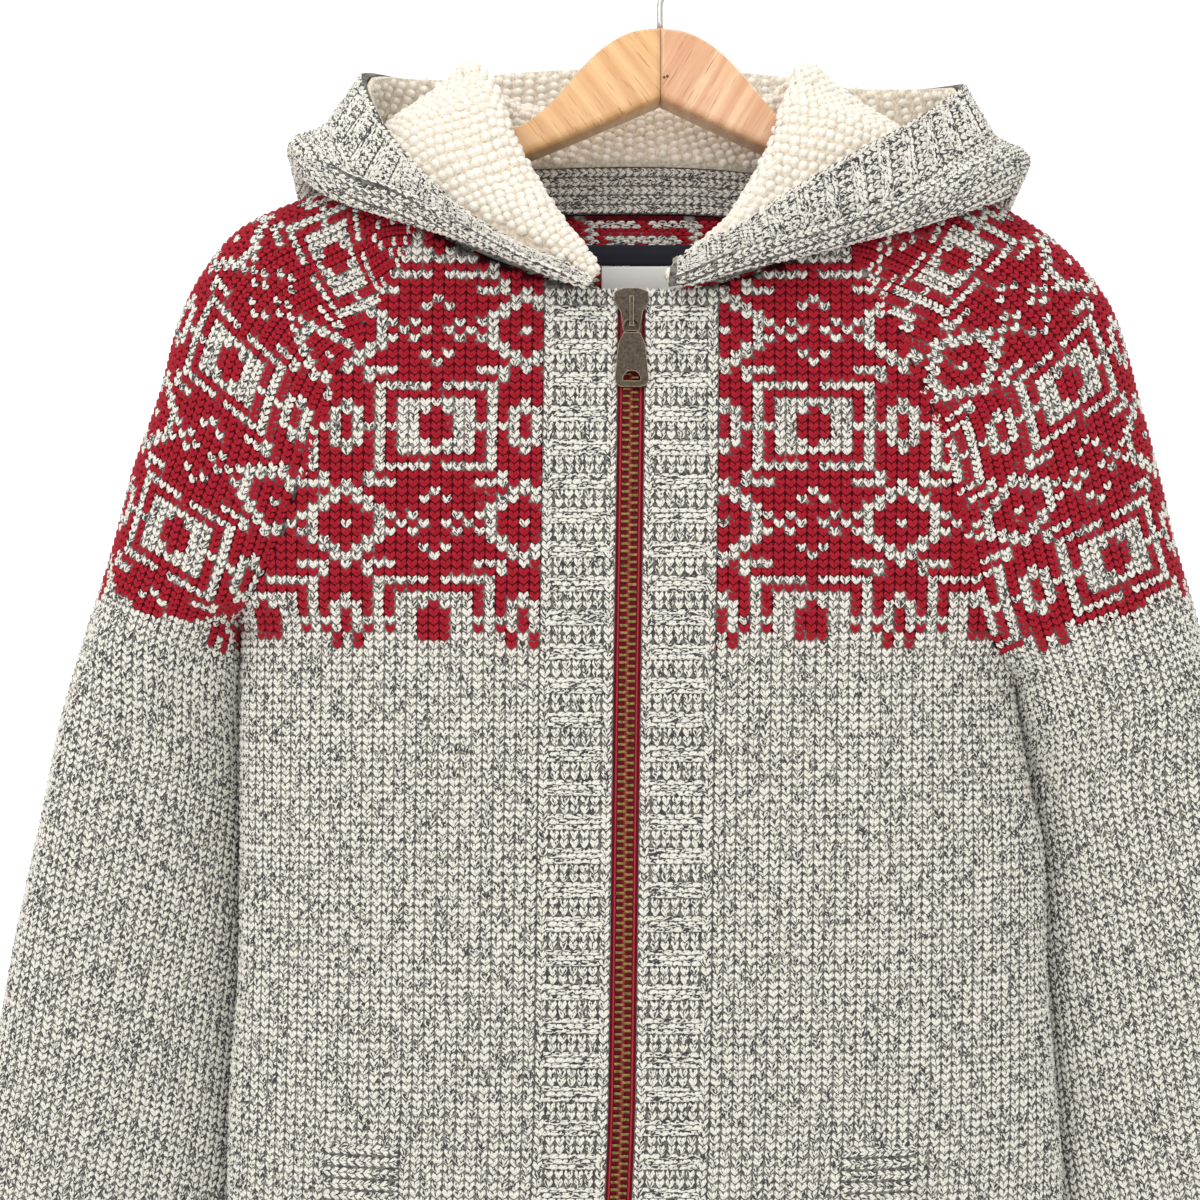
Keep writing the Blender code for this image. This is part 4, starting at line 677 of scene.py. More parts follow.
# ---------------------------------------------------------------- tables of points that stitches sit on
def lines_at(grid, heights):
    """A grid with extra channels read along each of its columns at the given heights. The channels are
    x, y, z and any others; the grid runs on straight past its top."""
    top = grid[:1] + (grid[:1] - grid[2:3]) * 12
    grid = np.concatenate([top, grid])
    made = np.empty((len(heights),) + grid.shape[1:])
    for j in range(grid.shape[1]):
        for k in range(grid.shape[2]):
            made[:, j, k] = np.interp(-heights, -grid[:, j, 2], grid[:, j, k])
    return made


def spaced(lines, step, count):
    """Each line read at equal steps of its length, from its first point on; it runs on straight at its
    end."""
    tail = lines[:, -1:] + (lines[:, -1:] - lines[:, -2:-1]) * 6
    lines = np.concatenate([lines, tail], axis=1)
    run = np.linalg.norm(np.diff(lines[..., :3], axis=1), axis=2)
    run = np.concatenate([np.zeros((len(run), 1)), np.cumsum(run, axis=1)], axis=1)
    at = np.arange(count) * step
    return np.stack([np.stack([np.interp(at, run[i], lines[i, :, k]) for k in range(lines.shape[2])], -1)
                     for i in range(len(lines))])


def across_at(lines, own, want):
    """Each line read at the wanted places; own is the place of each of its points."""
    return np.stack([np.stack([np.interp(want, own[i], lines[i, :, k]) for k in range(3)], -1)
                     for i in range(len(lines))])


def read_table(table, rows, cols):
    """The table between its rows and columns, as a blend of the four points around."""
    i = np.clip(np.floor(rows).astype(int), 0, table.shape[0] - 2)
    j = np.clip(np.floor(cols).astype(int), 0, table.shape[1] - 2)
    u, v = (rows - i)[..., None], (cols - j)[..., None]
    return (table[i, j] * (1 - u) * (1 - v) + table[i + 1, j] * u * (1 - v)
            + table[i, j + 1] * (1 - u) * v + table[i + 1, j + 1] * u * v)


def stitch_frames(table, rows, cols, tall, wide):
    """Centre, whole width, whole height and outward direction of stitches at places in a table."""
    centre = read_table(table, rows, cols)[..., :3]
    across = (read_table(table, rows, cols + wide / 2) - read_table(table, rows, cols - wide / 2))[..., :3]
    up = (read_table(table, rows - tall / 2, cols) - read_table(table, rows + tall / 2, cols))[..., :3]
    return centre, across, up, unit(np.cross(across, up))


LEAF = np.array([(0, 1, 2), (0, 2, 3), (1, 4, 5), (1, 5, 2), (2, 5, 6), (2, 6, 3), (4, 7, 5), (5, 7, 6)])


def leaf(frames, start, end, middle, ends, lift=0.0):
    """A strand of yarn seen from outside, as a leaf of eight points: its two ends, and at two places
    between them the ridge and both sides. start and end are in widths and heights of the stitch; middle
    gives, for each place, the part of the way, half the width, the side's height, the ridge's height
    and how far the strand bows to its side."""
    centre, across, up, out = frames
    lift = np.broadcast_to(lift, centre.shape[:-1])[..., None]
    a = centre + across * start[0] + up * start[1] + out * lift
    b = centre + across * end[0] + up * end[1] + out * lift
    side = unit(np.cross(out, b - a))
    ring = [a + out * ends[0]]
    for t, half, edge, ridge, bow in middle:
        here = a + (b - a) * t + side * bow
        ring += [here - side * half + out * edge, here + out * ridge, here + side * half + out * edge]
    return np.stack(ring + [b + out * ends[1]], axis=1)


LEAF_ACROSS = np.array([0, .5, 0, -.5, .5, 0, -.5, 0])
LEAF_HIGH = .68          # part of the way at which a leaf's second three points lie


class Strands:
    """Collects leaves of yarn with their shade, and puts them into one mesh. Blunt leaves have no tip
    at their foot, where the next stitch hides it."""

    def __init__(self, seed, blunt=False):
        self.points, self.shade, self.map = [], [], []
        self.chance = np.random.default_rng(seed)
        self.skip, self.low, self.foot = (1, .08, .62) if blunt else (0, .27, 1.0)

    def add(self, points, shade):
        """Takes leaves; each gets a chance place on the yarn, and the map runs along it in mm."""
        count = len(points)
        length = np.linalg.norm(points[:, 7] - points[:, 0], axis=1) * 1000
        seed = self.chance.random(count) * 90
        t = np.repeat([0, self.low, LEAF_HIGH, 1], (1, 3, 3, 1))
        flat = np.stack([seed[:, None] + LEAF_ACROSS, length[:, None] * t], -1)
        self.points.append(points[:, self.skip:].reshape(-1, 3))
        self.shade.append(np.repeat(np.broadcast_to(shade, (count,)), 8 - self.skip))
        self.map.append(flat[:, self.skip:].reshape(-1, 2))

    def vee(self, frames, shade, size, lift=0.0):
        """A plain stitch: two legs that lean out from its foot and reach into the next stitch up."""
        foot = size * self.foot
        for hand in (1, -1):
            middle = ((self.low, .00098 * foot, -.00005, .00112 * foot, hand * .00010 * size),
                      (LEAF_HIGH, .00128 * size, .00005, .00128 * size, hand * -.00012 * size))
            self.add(leaf(frames, (hand * .02, -.58), (hand * .37, .60), middle, (.00005, .00005), lift),
                     shade)

    def bump(self, frames, shade, size, lift=0.0):
        """A purl stitch: a short strand that lies across and arches."""
        middle = [(t, .00125 * size, .0001, .00120 * size, .0004 * size) for t in (.25, .75)]
        self.add(leaf(frames, (-.56, -.12), (.56, -.12), middle, (.0001, .0001), lift), shade)

    def piece(self, name, slot="marl_knit"):
        """All the leaves so far as one piece of the garment."""
        points = np.concatenate(self.points)
        each, one = 8 - self.skip, LEAF[2 * self.skip:] - self.skip
        faces = (one[None] + each * np.arange(len(points) // each)[:, None, None]).reshape(-1, 3)
        mesh = mesh_from(name, points, faces)
        give_values(mesh, "shade", np.concatenate(self.shade))
        give_map(mesh, "strand", np.concatenate(self.map))
        return add_piece(name, mesh, "knit_stitches")


# ---------------------------------------------------------------- the knitted pattern
# A quarter of a figure of the yoke, drawn as a chart: rows from the middle of the framed cross to the
# middle of the dotted diamond, columns from the line between two figures to the figures' own line;
# # is marl on red.
FIGURE = (
    ".######..",
    ".#.#.##..",
    "##.#.###.",
    "#..#.####",
    "...#.....",
    "...#####.",
    "..#......",
    "#.###....",
    "##......#",
    ".##....#.",
    "..##.....",
    "...##.#..",
    "#..#.#.#.",
)
FIGURE_TALL = 12         # courses from a framed cross to the next diamond
FIGURE_WIDE = 8          # wales from the figures' line to the line between two figures
YOKE_END = -.3710        # height where the red ground ends
MEDALLION_Z = -.2714     # height of the framed cross on the fronts

RED, MARL = 0.0, 1.0


def chart(wale, course, floor):
    """The yarn of each stitch: wale is counted from a figure's own line, course up from a framed
    cross's middle, and floor counts the courses up from the end of the red ground, under which a few
    red stitches stay. Returns 0 for red, 1 for marl."""
    drawn = np.array([[c == "#" for c in row] for row in FIGURE])
    wale, course, floor = (np.floor(np.asarray(v) + .5).astype(int) for v in (wale, course, floor))
    along = np.abs((wale + FIGURE_WIDE) % (2 * FIGURE_WIDE) - FIGURE_WIDE)
    up = np.abs((course + FIGURE_TALL) % (2 * FIGURE_TALL) - FIGURE_TALL)
    figure = drawn[up, FIGURE_WIDE - along]
    teeth = (floor >= -2) & (along == 7) | (floor == -1) & (along <= 1)
    return np.where(np.where(floor < 0, ~teeth, figure), MARL, RED)


# ---------------------------------------------------------------- the body, sleeves and hood in stitches
PANEL_TOP = {1: -.160, -1: -.145}    # height over the top course, in front and behind
PANEL_FOOT = -.745                   # height of the body's last course
FRONT_ACROSS = 111                   # a table's points across, half a wale apart, from its first line on
BACK_ACROSS = 110
SLEEVE_ACROSS = 80


STATION, SHARE = 3, 4                # a table's channels after x, y and z


def with_channels(grid, first, second):
    """A grid with two more channels: one that changes by row and one that changes by column."""
    extra = np.stack(np.broadcast_arrays(np.asarray(first)[:, None], np.asarray(second)[None, :]), -1)
    return np.concatenate([grid, extra], axis=-1)


def both_ways(halves):
    """Two tables that start at the same line, joined along it."""
    return np.concatenate([halves[0][:, :0:-1], halves[1]], axis=1)


def front_table(side, sizes):
    """Points at half courses and half wales of a front: courses lie at constant height and wales are
    counted from the zip band's edge. Channels: x, y, z, station, share of the way out."""
    stations = np.linspace(0, 2.02, 160)
    grid = with_channels(front_grid(side, stations, 56), stations, np.linspace(0, 1, 57))
    heights = np.arange(PANEL_TOP[1], PANEL_FOOT, -sizes.course / 2)
    return spaced(lines_at(grid, heights), sizes.wale / 2, FRONT_ACROSS), heights


def back_table(sizes):
    """The same for the back, in two halves that are counted from the centre plane."""
    stations = np.linspace(0, 2.02, 160)
    heights = np.arange(PANEL_TOP[-1], PANEL_FOOT, -sizes.course / 2)
    share = 1 - (1 - np.linspace(0, 1, 57)) ** 1.5
    halves = []
    for side in (-1, 1):
        edge = edge_x(side, stations, -1)
        grid = torso_surface(stations, edge[:, None] * share[None, :] + side * 1e-7, -1)
        grid = with_channels(grid, stations, np.linspace(0, 1, 57))
        halves.append(spaced(lines_at(grid, heights), sizes.wale / 2, BACK_ACROSS))
    halves[0][..., SHARE] *= -1
    return both_ways(halves), heights


SLEEVE_LEAN = {-1: .040, 1: .034}   # how much higher a course lies at the outer fold than at the inner


def sleeve_run(side):
    """Stations of a sleeve and how far down its front each lies."""
    fine = np.linspace(0, 3, 400)
    return fine, lengths(sleeve_surface(side, fine, [.35])[:, 0])


def sleeve_down(side, station, turn):
    """How many metres of courses lie above a place on a sleeve: the way down its front, and more
    towards the outer fold, because the courses rise there."""
    fine, run = sleeve_run(side)
    lean = SLEEVE_LEAN[side] * (np.cos(np.asarray(turn) * math.pi / 2) - .5)
    return np.interp(station, fine, run) + lean


def sleeve_table(side, sizes, start=0.0, end=2.0):
    """The same for a sleeve: courses cross it on a slight slant, and wales are counted from the outer
    fold. Channels: x, y, z, station, turn."""
    fine, run = sleeve_run(side)
    lean = SLEEVE_LEAN[side] if end < 3 else 0.0
    at = np.interp([start, end], fine, run)
    downs = np.arange(at[0] - lean, at[1] + lean, sizes.course / 2)
    halves = []
    for way in (-1, 1):
        turns = np.linspace(0, way, 60)
        grid = with_channels(sleeve_surface(side, fine, turns), fine, turns)
        want = downs[:, None] - lean * (np.cos(turns * math.pi / 2) - .5)[None, :]
        rows = np.interp(want, run, np.arange(len(fine)), left=0, right=len(fine) - 1)
        lines = read_table(grid, rows, np.broadcast_to(np.arange(60.0)[None, :], rows.shape))
        halves.append(spaced(lines, sizes.wale / 2, SLEEVE_ACROSS))
    return both_ways(halves), downs


KNIT_STATIONS = (.012, 1.997)       # first and last station that carry a plain stitch
KNIT_SHARE = 1.006                  # share of the way to the edge up to which they do


def on_panel(here):
    """Where a front, the back or a sleeve has room for a stitch."""
    station, share = here[..., STATION], here[..., SHARE]
    return (station > KNIT_STATIONS[0]) & (station < KNIT_STATIONS[1]) & (np.abs(share) < KNIT_SHARE)


def stitches_over(strands, table, shade_of, keep, size, faces_out):
    """Covers a table with plain stitches, one at each odd row and column, where keep allows it."""
    if not faces_out:
        table = table[:, ::-1]
    rows, cols = np.meshgrid(np.arange(1, table.shape[0] - 1, 2), np.arange(1, table.shape[1] - 1, 2),
                             indexing="ij")
    here = table[rows, cols]
    good = keep(here)
    rows, cols, here = rows[good], cols[good], here[good]
    frames = stitch_frames(table, rows.astype(float), cols.astype(float), 2, 2)
    if not faces_out:
        cols = table.shape[1] - 1 - cols
    strands.vee(frames, shade_of(cols, rows, here), size)


def arc_from_first(grid):
    """How far along its row each point lies."""
    return np.stack([lengths(line) for line in grid])


def facing(grid, way, closed=False):
    """Unit normals turned so that on the whole they point the given way, or away from given points."""
    normals = surface_normals(grid, closed)
    return normals * np.sign((normals * way).sum(-1).mean())


def ground_wall(grid, normals):
    """The cloth behind the stitches: its outer face just under them, its inner face at the wall's depth."""
    return grid - normals * GROUND_UNDER, grid - normals * (WALL - GROUND_UNDER)


def torso_yarn(sizes, wale, height, ground_height):
    """The yarn's number on a front or the back, from the wale's number and the height, which is given
    for the figures and for the red ground's end."""
    return chart(wale, (height - MEDALLION_Z) / sizes.course, (ground_height - YOKE_END) / sizes.course)


FRONT_AXIS = {-1: 9.8, 1: 8.7}            # wales from the zip band's edge to the figures' line
SLEEVE_YOKE_END = {-1: .985, 1: .905}     # station where the red ground ends, on the sleeve's front
SLEEVE_MEDALLION = {-1: .47, 1: .50}      # station of a framed cross there
SLEEVE_AXIS = 11                          # wales from the outer fold to the figures' line


def sleeve_yarn(side, sizes, down, across):
    """The yarn's number on a sleeve, from the courses above and the distance from the outer fold."""
    middle, end = np.interp([SLEEVE_MEDALLION[side], SLEEVE_YOKE_END[side]], *sleeve_run(side))
    return chart(across / sizes.wale - SLEEVE_AXIS, (middle - down) / sizes.course,
                 (end - down) / sizes.course)


RIB_EVERY = 3.0          # table columns from one chain of the rib to the next


def rib_stitches(strands, table, sizes, faces_out, keep):
    """Single rib: chains of plain stitches stand over sunk purl ones."""
    if not faces_out:
        table = table[:, ::-1]
    rows = np.arange(1, table.shape[0] - 1, 2)
    chains = (1, strands.vee, .72, .0007)
    valleys = (1 + RIB_EVERY / 2, strands.bump, .42, -.0006)
    for first, make, wide, lift in (chains, valleys):
        cols = np.arange(first, table.shape[1] - 1, RIB_EVERY)
        i, j = (a.ravel().astype(float) for a in np.meshgrid(rows, cols, indexing="ij"))
        good = keep(read_table(table, i, j))
        make(stitch_frames(table, i[good], j[good], 2, RIB_EVERY * wide), MARL, sizes.yarn, lift)


BAND_COURSE = 0.00425    # four of these make a repeat of the block stitch
BAND_CHAINS = (.078, .922)          # middles of the chains along both edges, as shares of the width
BAND_BLOCK = (.165, .835)           # the blocks between them


def block_stitches(strands, table, size):
    """The block stitch on a table with four rows a course and one column a hundredth of the width: a
    chain of plain stitches along each edge, and between them blocks of five short ribs and blocks of
    three ridges of purl in turn."""
    last = table.shape[0] - 3

    def put(make, rows, cols, tall, wide, lift, much):
        i, j = (a.ravel() for a in np.meshgrid(rows, cols, indexing="ij"))
        good = (i > 1) & (i < last)
        make(stitch_frames(table, i[good], j[good], tall, wide), MARL, size * much, lift)

    put(strands.vee, np.arange(2, last, 4.0), np.array(BAND_CHAINS) * 100, 4, 14.5, .0006, 1.0)
    starts = np.arange(0, last, 16.0)
    first, width = BAND_BLOCK[0] * 100, BAND_BLOCK[1] - BAND_BLOCK[0]
    for step in (2.0, 6.0):
        put(strands.vee, starts + step, first + (np.arange(5) + .5) * width * 20, 4, 11.6, .0009, .90)
    for step, shift in ((9.4, .05), (12.0, .5), (14.6, .05)):
        put(strands.bump, starts + step, first + (np.arange(6) + shift) * width * 18.4, 3, 13.6, .0001, 1.02)


def row_places(line, step):
    """Where rows a step apart, measured along a line of the table, lie between its own rows."""
    run = lengths(line)
    return np.interp(np.arange(0, run[-1], step), run, np.arange(len(run)))


def even_rows(table, line, step):
    """The table read again at such rows."""
    i, j = np.meshgrid(row_places(line, step), np.arange(float(table.shape[1])), indexing="ij")
    return read_table(table, i, j)


def stitches_face_out(table, col, tall, wide, outer, inner):
    """Whether a stitch at the table's middle row points from the wall's inner face to its outer one."""
    centre, _, _, out = stitch_frames(table, np.array([len(table) / 2.0]), np.array([col]), tall, wide)
    near = np.unravel_index(np.argmin(np.linalg.norm(outer - centre[0], axis=-1)), outer.shape[:2])
    return float(out[0] @ (outer - inner)[near]) > 0


UNDER_BAND = .0011       # depth of the lining under the hood's band


def hood_walls():
    """The hood's walls by name, each as its outer and inner grid, as far apart as the knit and the
    lining are thick, and pressed thinner in the folds."""
    grid, normals, start, thin = hood_paths()
    middle = len(HOOD_RING) - 1
    knit = (HOOD_KNIT * thin)[:, None, None]
    lining = (HOOD_LINING * thin)[:, None, None]
    squeeze = np.interp(np.arange(start + 1), *KNIT_PRESSED)[None, :, None]
    walls = {}
    for name, rows in (("right", slice(0, middle + 1)), ("left", slice(middle, None))):
        part, n = grid[rows, :start + 1], normals[rows, :start + 1]
        walls[name] = (part + n * knit[rows] * squeeze, part + n * SEAM / 2)
    part, n = grid[:, start:], normals[:, start:]
    walls["band"] = (part + n * knit, part + n * SEAM / 2)
    grid, normals = np.delete(grid, -2, axis=1), np.delete(normals, -2, axis=1)
    under = np.full(grid.shape[:2], SEAM / 2)
    under[:, start:] = UNDER_BAND
    squeeze = np.interp(np.arange(grid.shape[1]), *LINING_PRESSED)[None, :, None]
    inner = grid - normals * (lining * squeeze + (under - SEAM / 2)[..., None])
    walls["lining"] = (grid - normals * under[..., None], inner)
    return walls


BOBBLE_SIDES = 6
BOBBLE_RINGS = ((.74, .68), (1, -.12))    # radius and height of the rings, as shares of the bobble's own


def domes(frames, radius, height):
    """Round bobbles: an apex, a ring at two thirds of the height and a ring sunk at the foot."""
    centre, across, _, out = frames
    a, b = unit(across), np.cross(out, unit(across))
    radius, height = (v[:, None, None] for v in (radius, height))
    turn = circle(BOBBLE_SIDES)[None]
    ring = a[:, None] * turn[..., :1] + b[:, None] * turn[..., 1:]
    points = np.concatenate([centre[:, None] + out[:, None] * height]
                            + [centre[:, None] + ring * radius * wide + out[:, None] * height * high
                               for wide, high in BOBBLE_RINGS], axis=1)
    k = np.arange(BOBBLE_SIDES)
    n = (k + 1) % BOBBLE_SIDES
    foot = 1 + BOBBLE_SIDES
    faces = np.concatenate([np.stack(three, -1) for three in
                            ((0 * k, 1 + k, 1 + n), (1 + k, foot + k, foot + n), (1 + k, foot + n, 1 + n))])
    whole = (faces[None] + (foot + BOBBLE_SIDES) * np.arange(len(points))[:, None, None]).reshape(-1, 3)
    return points.reshape(-1, 3), whole


def circle(count):
    """Points round a circle of radius one."""
    turn = np.arange(count) / count * 2 * math.pi
    return np.stack([np.cos(turn), np.sin(turn)], -1)


def carried(path, first, second, profile):
    """A profile carried along a path: its two numbers go along two given directions. The grid's last
    column repeats its first."""
    profile = np.broadcast_to(profile, (len(path),) + profile.shape[-2:])
    grid = path[:, None] + first[:, None] * profile[..., :1] + second[:, None] * profile[..., 1:]
    return np.concatenate([grid, grid[:, :1]], axis=1)


def closed_tube(name, grid, finish_name):
    """A grid whose last column repeats its first as a piece, with a cap fanned over each end."""
    ring = grid[:, :-1]
    rows, cols = ring.shape[:2]
    index = numbered(rows, cols, True)
    points, count = ring.reshape(-1, 3), rows * cols
    points = np.concatenate([points, ring[:1].mean(1), ring[-1:].mean(1)])
    first, last = index[0], index[-1]
    faces = np.concatenate([triangles(index), np.stack([first[:-1], first[1:], np.full(cols, count)], -1),
                            np.stack([last[1:], last[:-1], np.full(cols, count + 1)], -1)])
    corner = points[faces]
    if np.einsum("ij,ij->i", corner[:, 0], np.cross(corner[:, 1], corner[:, 2])).sum() < 0:
        faces = faces[:, ::-1]
    return add_piece(name, mesh_from(name, points, faces), finish_name)


# ---------------------------------------------------------------- materials
def linear(colour):
    """A display colour, 0 to 255 a channel, as Blender's linear one."""
    c = np.asarray(colour, float) / 255
    return tuple(np.where(c <= .04045, c / 12.92, ((c + .055) / 1.055) ** 2.4)) + (1.0,)


def feed(tree, socket, value):
    """Gives a socket a number or a colour, or links another node's output to it."""
    if isinstance(value, bpy.types.NodeSocket):
        tree.links.new(value, socket)
    else:
        socket.default_value = value


def node(tree, kind, inputs=None, **settings):
    """A shader node; inputs are numbers, colours or the outputs of other nodes."""
    made = tree.nodes.new(kind)
    for name, value in settings.items():
        setattr(made, name, value)
    for name, value in (inputs or {}).items():
        feed(tree, made.inputs[name], value)
    return made


def spot(tree):
    """The place on the piece, in metres."""
    return node(tree, "ShaderNodeTexCoord").outputs["Object"]


def noise(tree, vector, scale, detail, **more):
    inputs = {"Vector": vector, "Scale": scale, "Detail": detail, **more}
    return node(tree, "ShaderNodeTexNoise", inputs).outputs["Fac"]


def stretch(tree, vector, **settings):
    return node(tree, "ShaderNodeMapping", {"Vector": vector, **settings}).outputs[0]


def ramp(tree, value, low, high, first=0.0, last=1.0):
    """Grey that goes from first to last as the value goes from low to high."""
    made = node(tree, "ShaderNodeValToRGB", {"Fac": value})
    for stop, at, tone in zip(made.color_ramp.elements, (low, high), (first, last)):
        stop.position = at
        stop.color = (tone, tone, tone, 1)
    return made.outputs["Color"]


def mix(tree, share, first, second, how="MIX"):
    made = node(tree, "ShaderNodeMix", data_type="RGBA", blend_type=how)
    for socket, value in ((0, share), (6, first), (7, second)):
        feed(tree, made.inputs[socket], value)
    return made.outputs[2]


def maths(tree, how, *values):
    made = node(tree, "ShaderNodeMath", operation=how)
    for socket, value in zip(made.inputs, values):
        feed(tree, socket, value)
    return made.outputs[0]


KINDS = {"vector": "NodeSocketVector", "number": "NodeSocketFloat", "colour": "NodeSocketColor"}


def effect(name, inputs, outputs):
    """An empty node group with named inputs (name, kind, default) and outputs (name, kind)."""
    group = bpy.data.node_groups.new(name, "ShaderNodeTree")
    for label, kind, default in inputs:
        socket = group.interface.new_socket(name=label, in_out="INPUT", socket_type=KINDS[kind])
        if default is not None:
            socket.default_value = default
    for label, kind in outputs:
        group.interface.new_socket(name=label, in_out="OUTPUT", socket_type=KINDS[kind])
    return group, group.nodes.new("NodeGroupInput").outputs, group.nodes.new("NodeGroupOutput").inputs


def place(tree, group, inputs):
    """An effect's node in a material, with its inputs fed."""
    made = tree.nodes.new("ShaderNodeGroup")
    made.node_tree = group
    for name, value in inputs.items():
        feed(tree, made.inputs[name], value)
    return made.outputs


YARNS = {"red": (182, 30, 48), "cream": (240, 235, 224), "charcoal": (50, 50, 55)}
DEEP_RED = (150, 20, 36)


def twist_effect():
    """Plied yarn: slanting plies along the strand, fine fibres and the dark flecks of a marl, with painted
    shade that darkens the grooves between the plies. The map's first number is a chance number plus the place
    across the strand, its second runs along it in mm."""
    group, given, out = effect("plied_yarn", (
        ("Map", "vector", None), ("Shade", "number", 0.0), ("Red", "colour", linear(YARNS["red"])),
        ("Cream", "colour", linear(YARNS["cream"])), ("Charcoal", "colour", linear(YARNS["charcoal"]))),
        (("Color", "colour"), ("Height", "number")))
    split = node(group, "ShaderNodeSeparateXYZ", {"Vector": given["Map"]}).outputs
    slant = maths(group, "MULTIPLY_ADD", split["X"], 2.6, split["Y"])
    ply = maths(group, "SINE", maths(group, "MULTIPLY", slant, 3.1))
    fleck = noise(group, stretch(group, given["Map"], Scale=(1.9, .24, 1)), 1.0, 2.0, Roughness=.6)
    leaning = maths(group, "ADD", fleck, maths(group, "MULTIPLY", ply, .04))
    cloud = maths(group, "SUBTRACT", noise(group, spot(group), 130.0, 2.0), .5)
    leaning = maths(group, "ADD", leaning, maths(group, "MULTIPLY", cloud, .16))
    marl = mix(group, ramp(group, leaning, .535, .575, 0, .97), given["Cream"], given["Charcoal"])
    warm = ramp(group, noise(group, given["Map"], .9, 1.0), .3, .7)
    reds = mix(group, warm, given["Red"], linear(DEEP_RED))
    reds = mix(group, ramp(group, fleck, .735, .76, 0, .65), reds, given["Cream"])
    colour = mix(group, maths(group, "GREATER_THAN", given["Shade"], .5), reds, marl)
    # Painted shade: the colour is darkened where the ply wave is low, in the grooves between the plies, the
    # same wave that gives them their height.
    colour = mix(group, .6, colour, ramp(group, ply, .0, .5, .62, 1), "MULTIPLY")
    group.links.new(colour, out["Color"])
    fibre = noise(group, stretch(group, given["Map"], Scale=(9, 2.2, 1)), 2.0, 2.0)
    group.links.new(maths(group, "MULTIPLY_ADD", ply, .5, fibre), out["Height"])
    return group


def wear_effect():
    """Rubbed and darkened places on metal and wood: cloudy spots with a fine grain over them."""
    group, given, out = effect("rubbed_finish", (("Scale", "number", 400.0), ("Amount", "number", .5)),
                               (("Mask", "number"), ("Height", "number")))
    here = spot(group)
    cloud = noise(group, here, given["Scale"], 4.0, Roughness=.65)
    fine = noise(group, here, maths(group, "MULTIPLY", given["Scale"], 6.0), 2.0)
    group.links.new(maths(group, "MULTIPLY", ramp(group, cloud, .35, .7), given["Amount"]), out["Mask"])
    group.links.new(maths(group, "MULTIPLY_ADD", fine, .4, cloud), out["Height"])
    return group


def weave_effect():
    """A plain weave of two crossed sets of threads; Threads is how many radians of them a metre holds."""
    group, given, out = effect("plain_weave", (("Map", "vector", None), ("Threads", "number", 1500.0)),
                               (("Mask", "number"), ("Height", "number")))
    scaled = node(group, "ShaderNodeVectorMath", {0: given["Map"], "Scale": given["Threads"]},
                  operation="SCALE")
    split = node(group, "ShaderNodeSeparateXYZ", {"Vector": scaled.outputs[0]}).outputs
    warp, weft = (maths(group, "SINE", split[axis]) for axis in "XZ")
    both = maths(group, "MULTIPLY", warp, weft)
    group.links.new(maths(group, "MULTIPLY_ADD", both, .5, .5), out["Mask"])
    raised = [maths(group, "ABSOLUTE", thread) for thread in (warp, weft)]
    group.links.new(maths(group, "ADD", *raised), out["Height"])
    return group


def finish(name, colour, rough, metal=0.0, bump=None, strength=.3, distance=.0004, **sockets):
    """A material with its Principled shader; colour is a value or a function of the node tree, and the
    other sockets' names have _ for a space."""
    made = bpy.data.materials.new(name)
    made.use_nodes = True
    tree = made.node_tree
    shader = tree.nodes["Principled BSDF"]
    feed(tree, shader.inputs["Base Color"], colour(tree) if callable(colour) else colour)
    for socket, value in {"Roughness": rough, "Metallic": metal, **sockets}.items():
        shader.inputs[socket.replace("_", " ")].default_value = value
    if bump:
        lumps = node(tree, "ShaderNodeBump",
                     {"Height": bump(tree), "Strength": strength, "Distance": distance})
        tree.links.new(lumps.outputs["Normal"], shader.inputs["Normal"])


def cloudy(scale, first, second):
    """Two colours in soft clouds."""
    return lambda tree: mix(tree, ramp(tree, noise(tree, spot(tree), scale, 3.0, Roughness=.6), .35, .65),
                            linear(first), linear(second))


def lumpy(scale):
    return lambda tree: noise(tree, spot(tree), scale, 4.0, Roughness=.7)


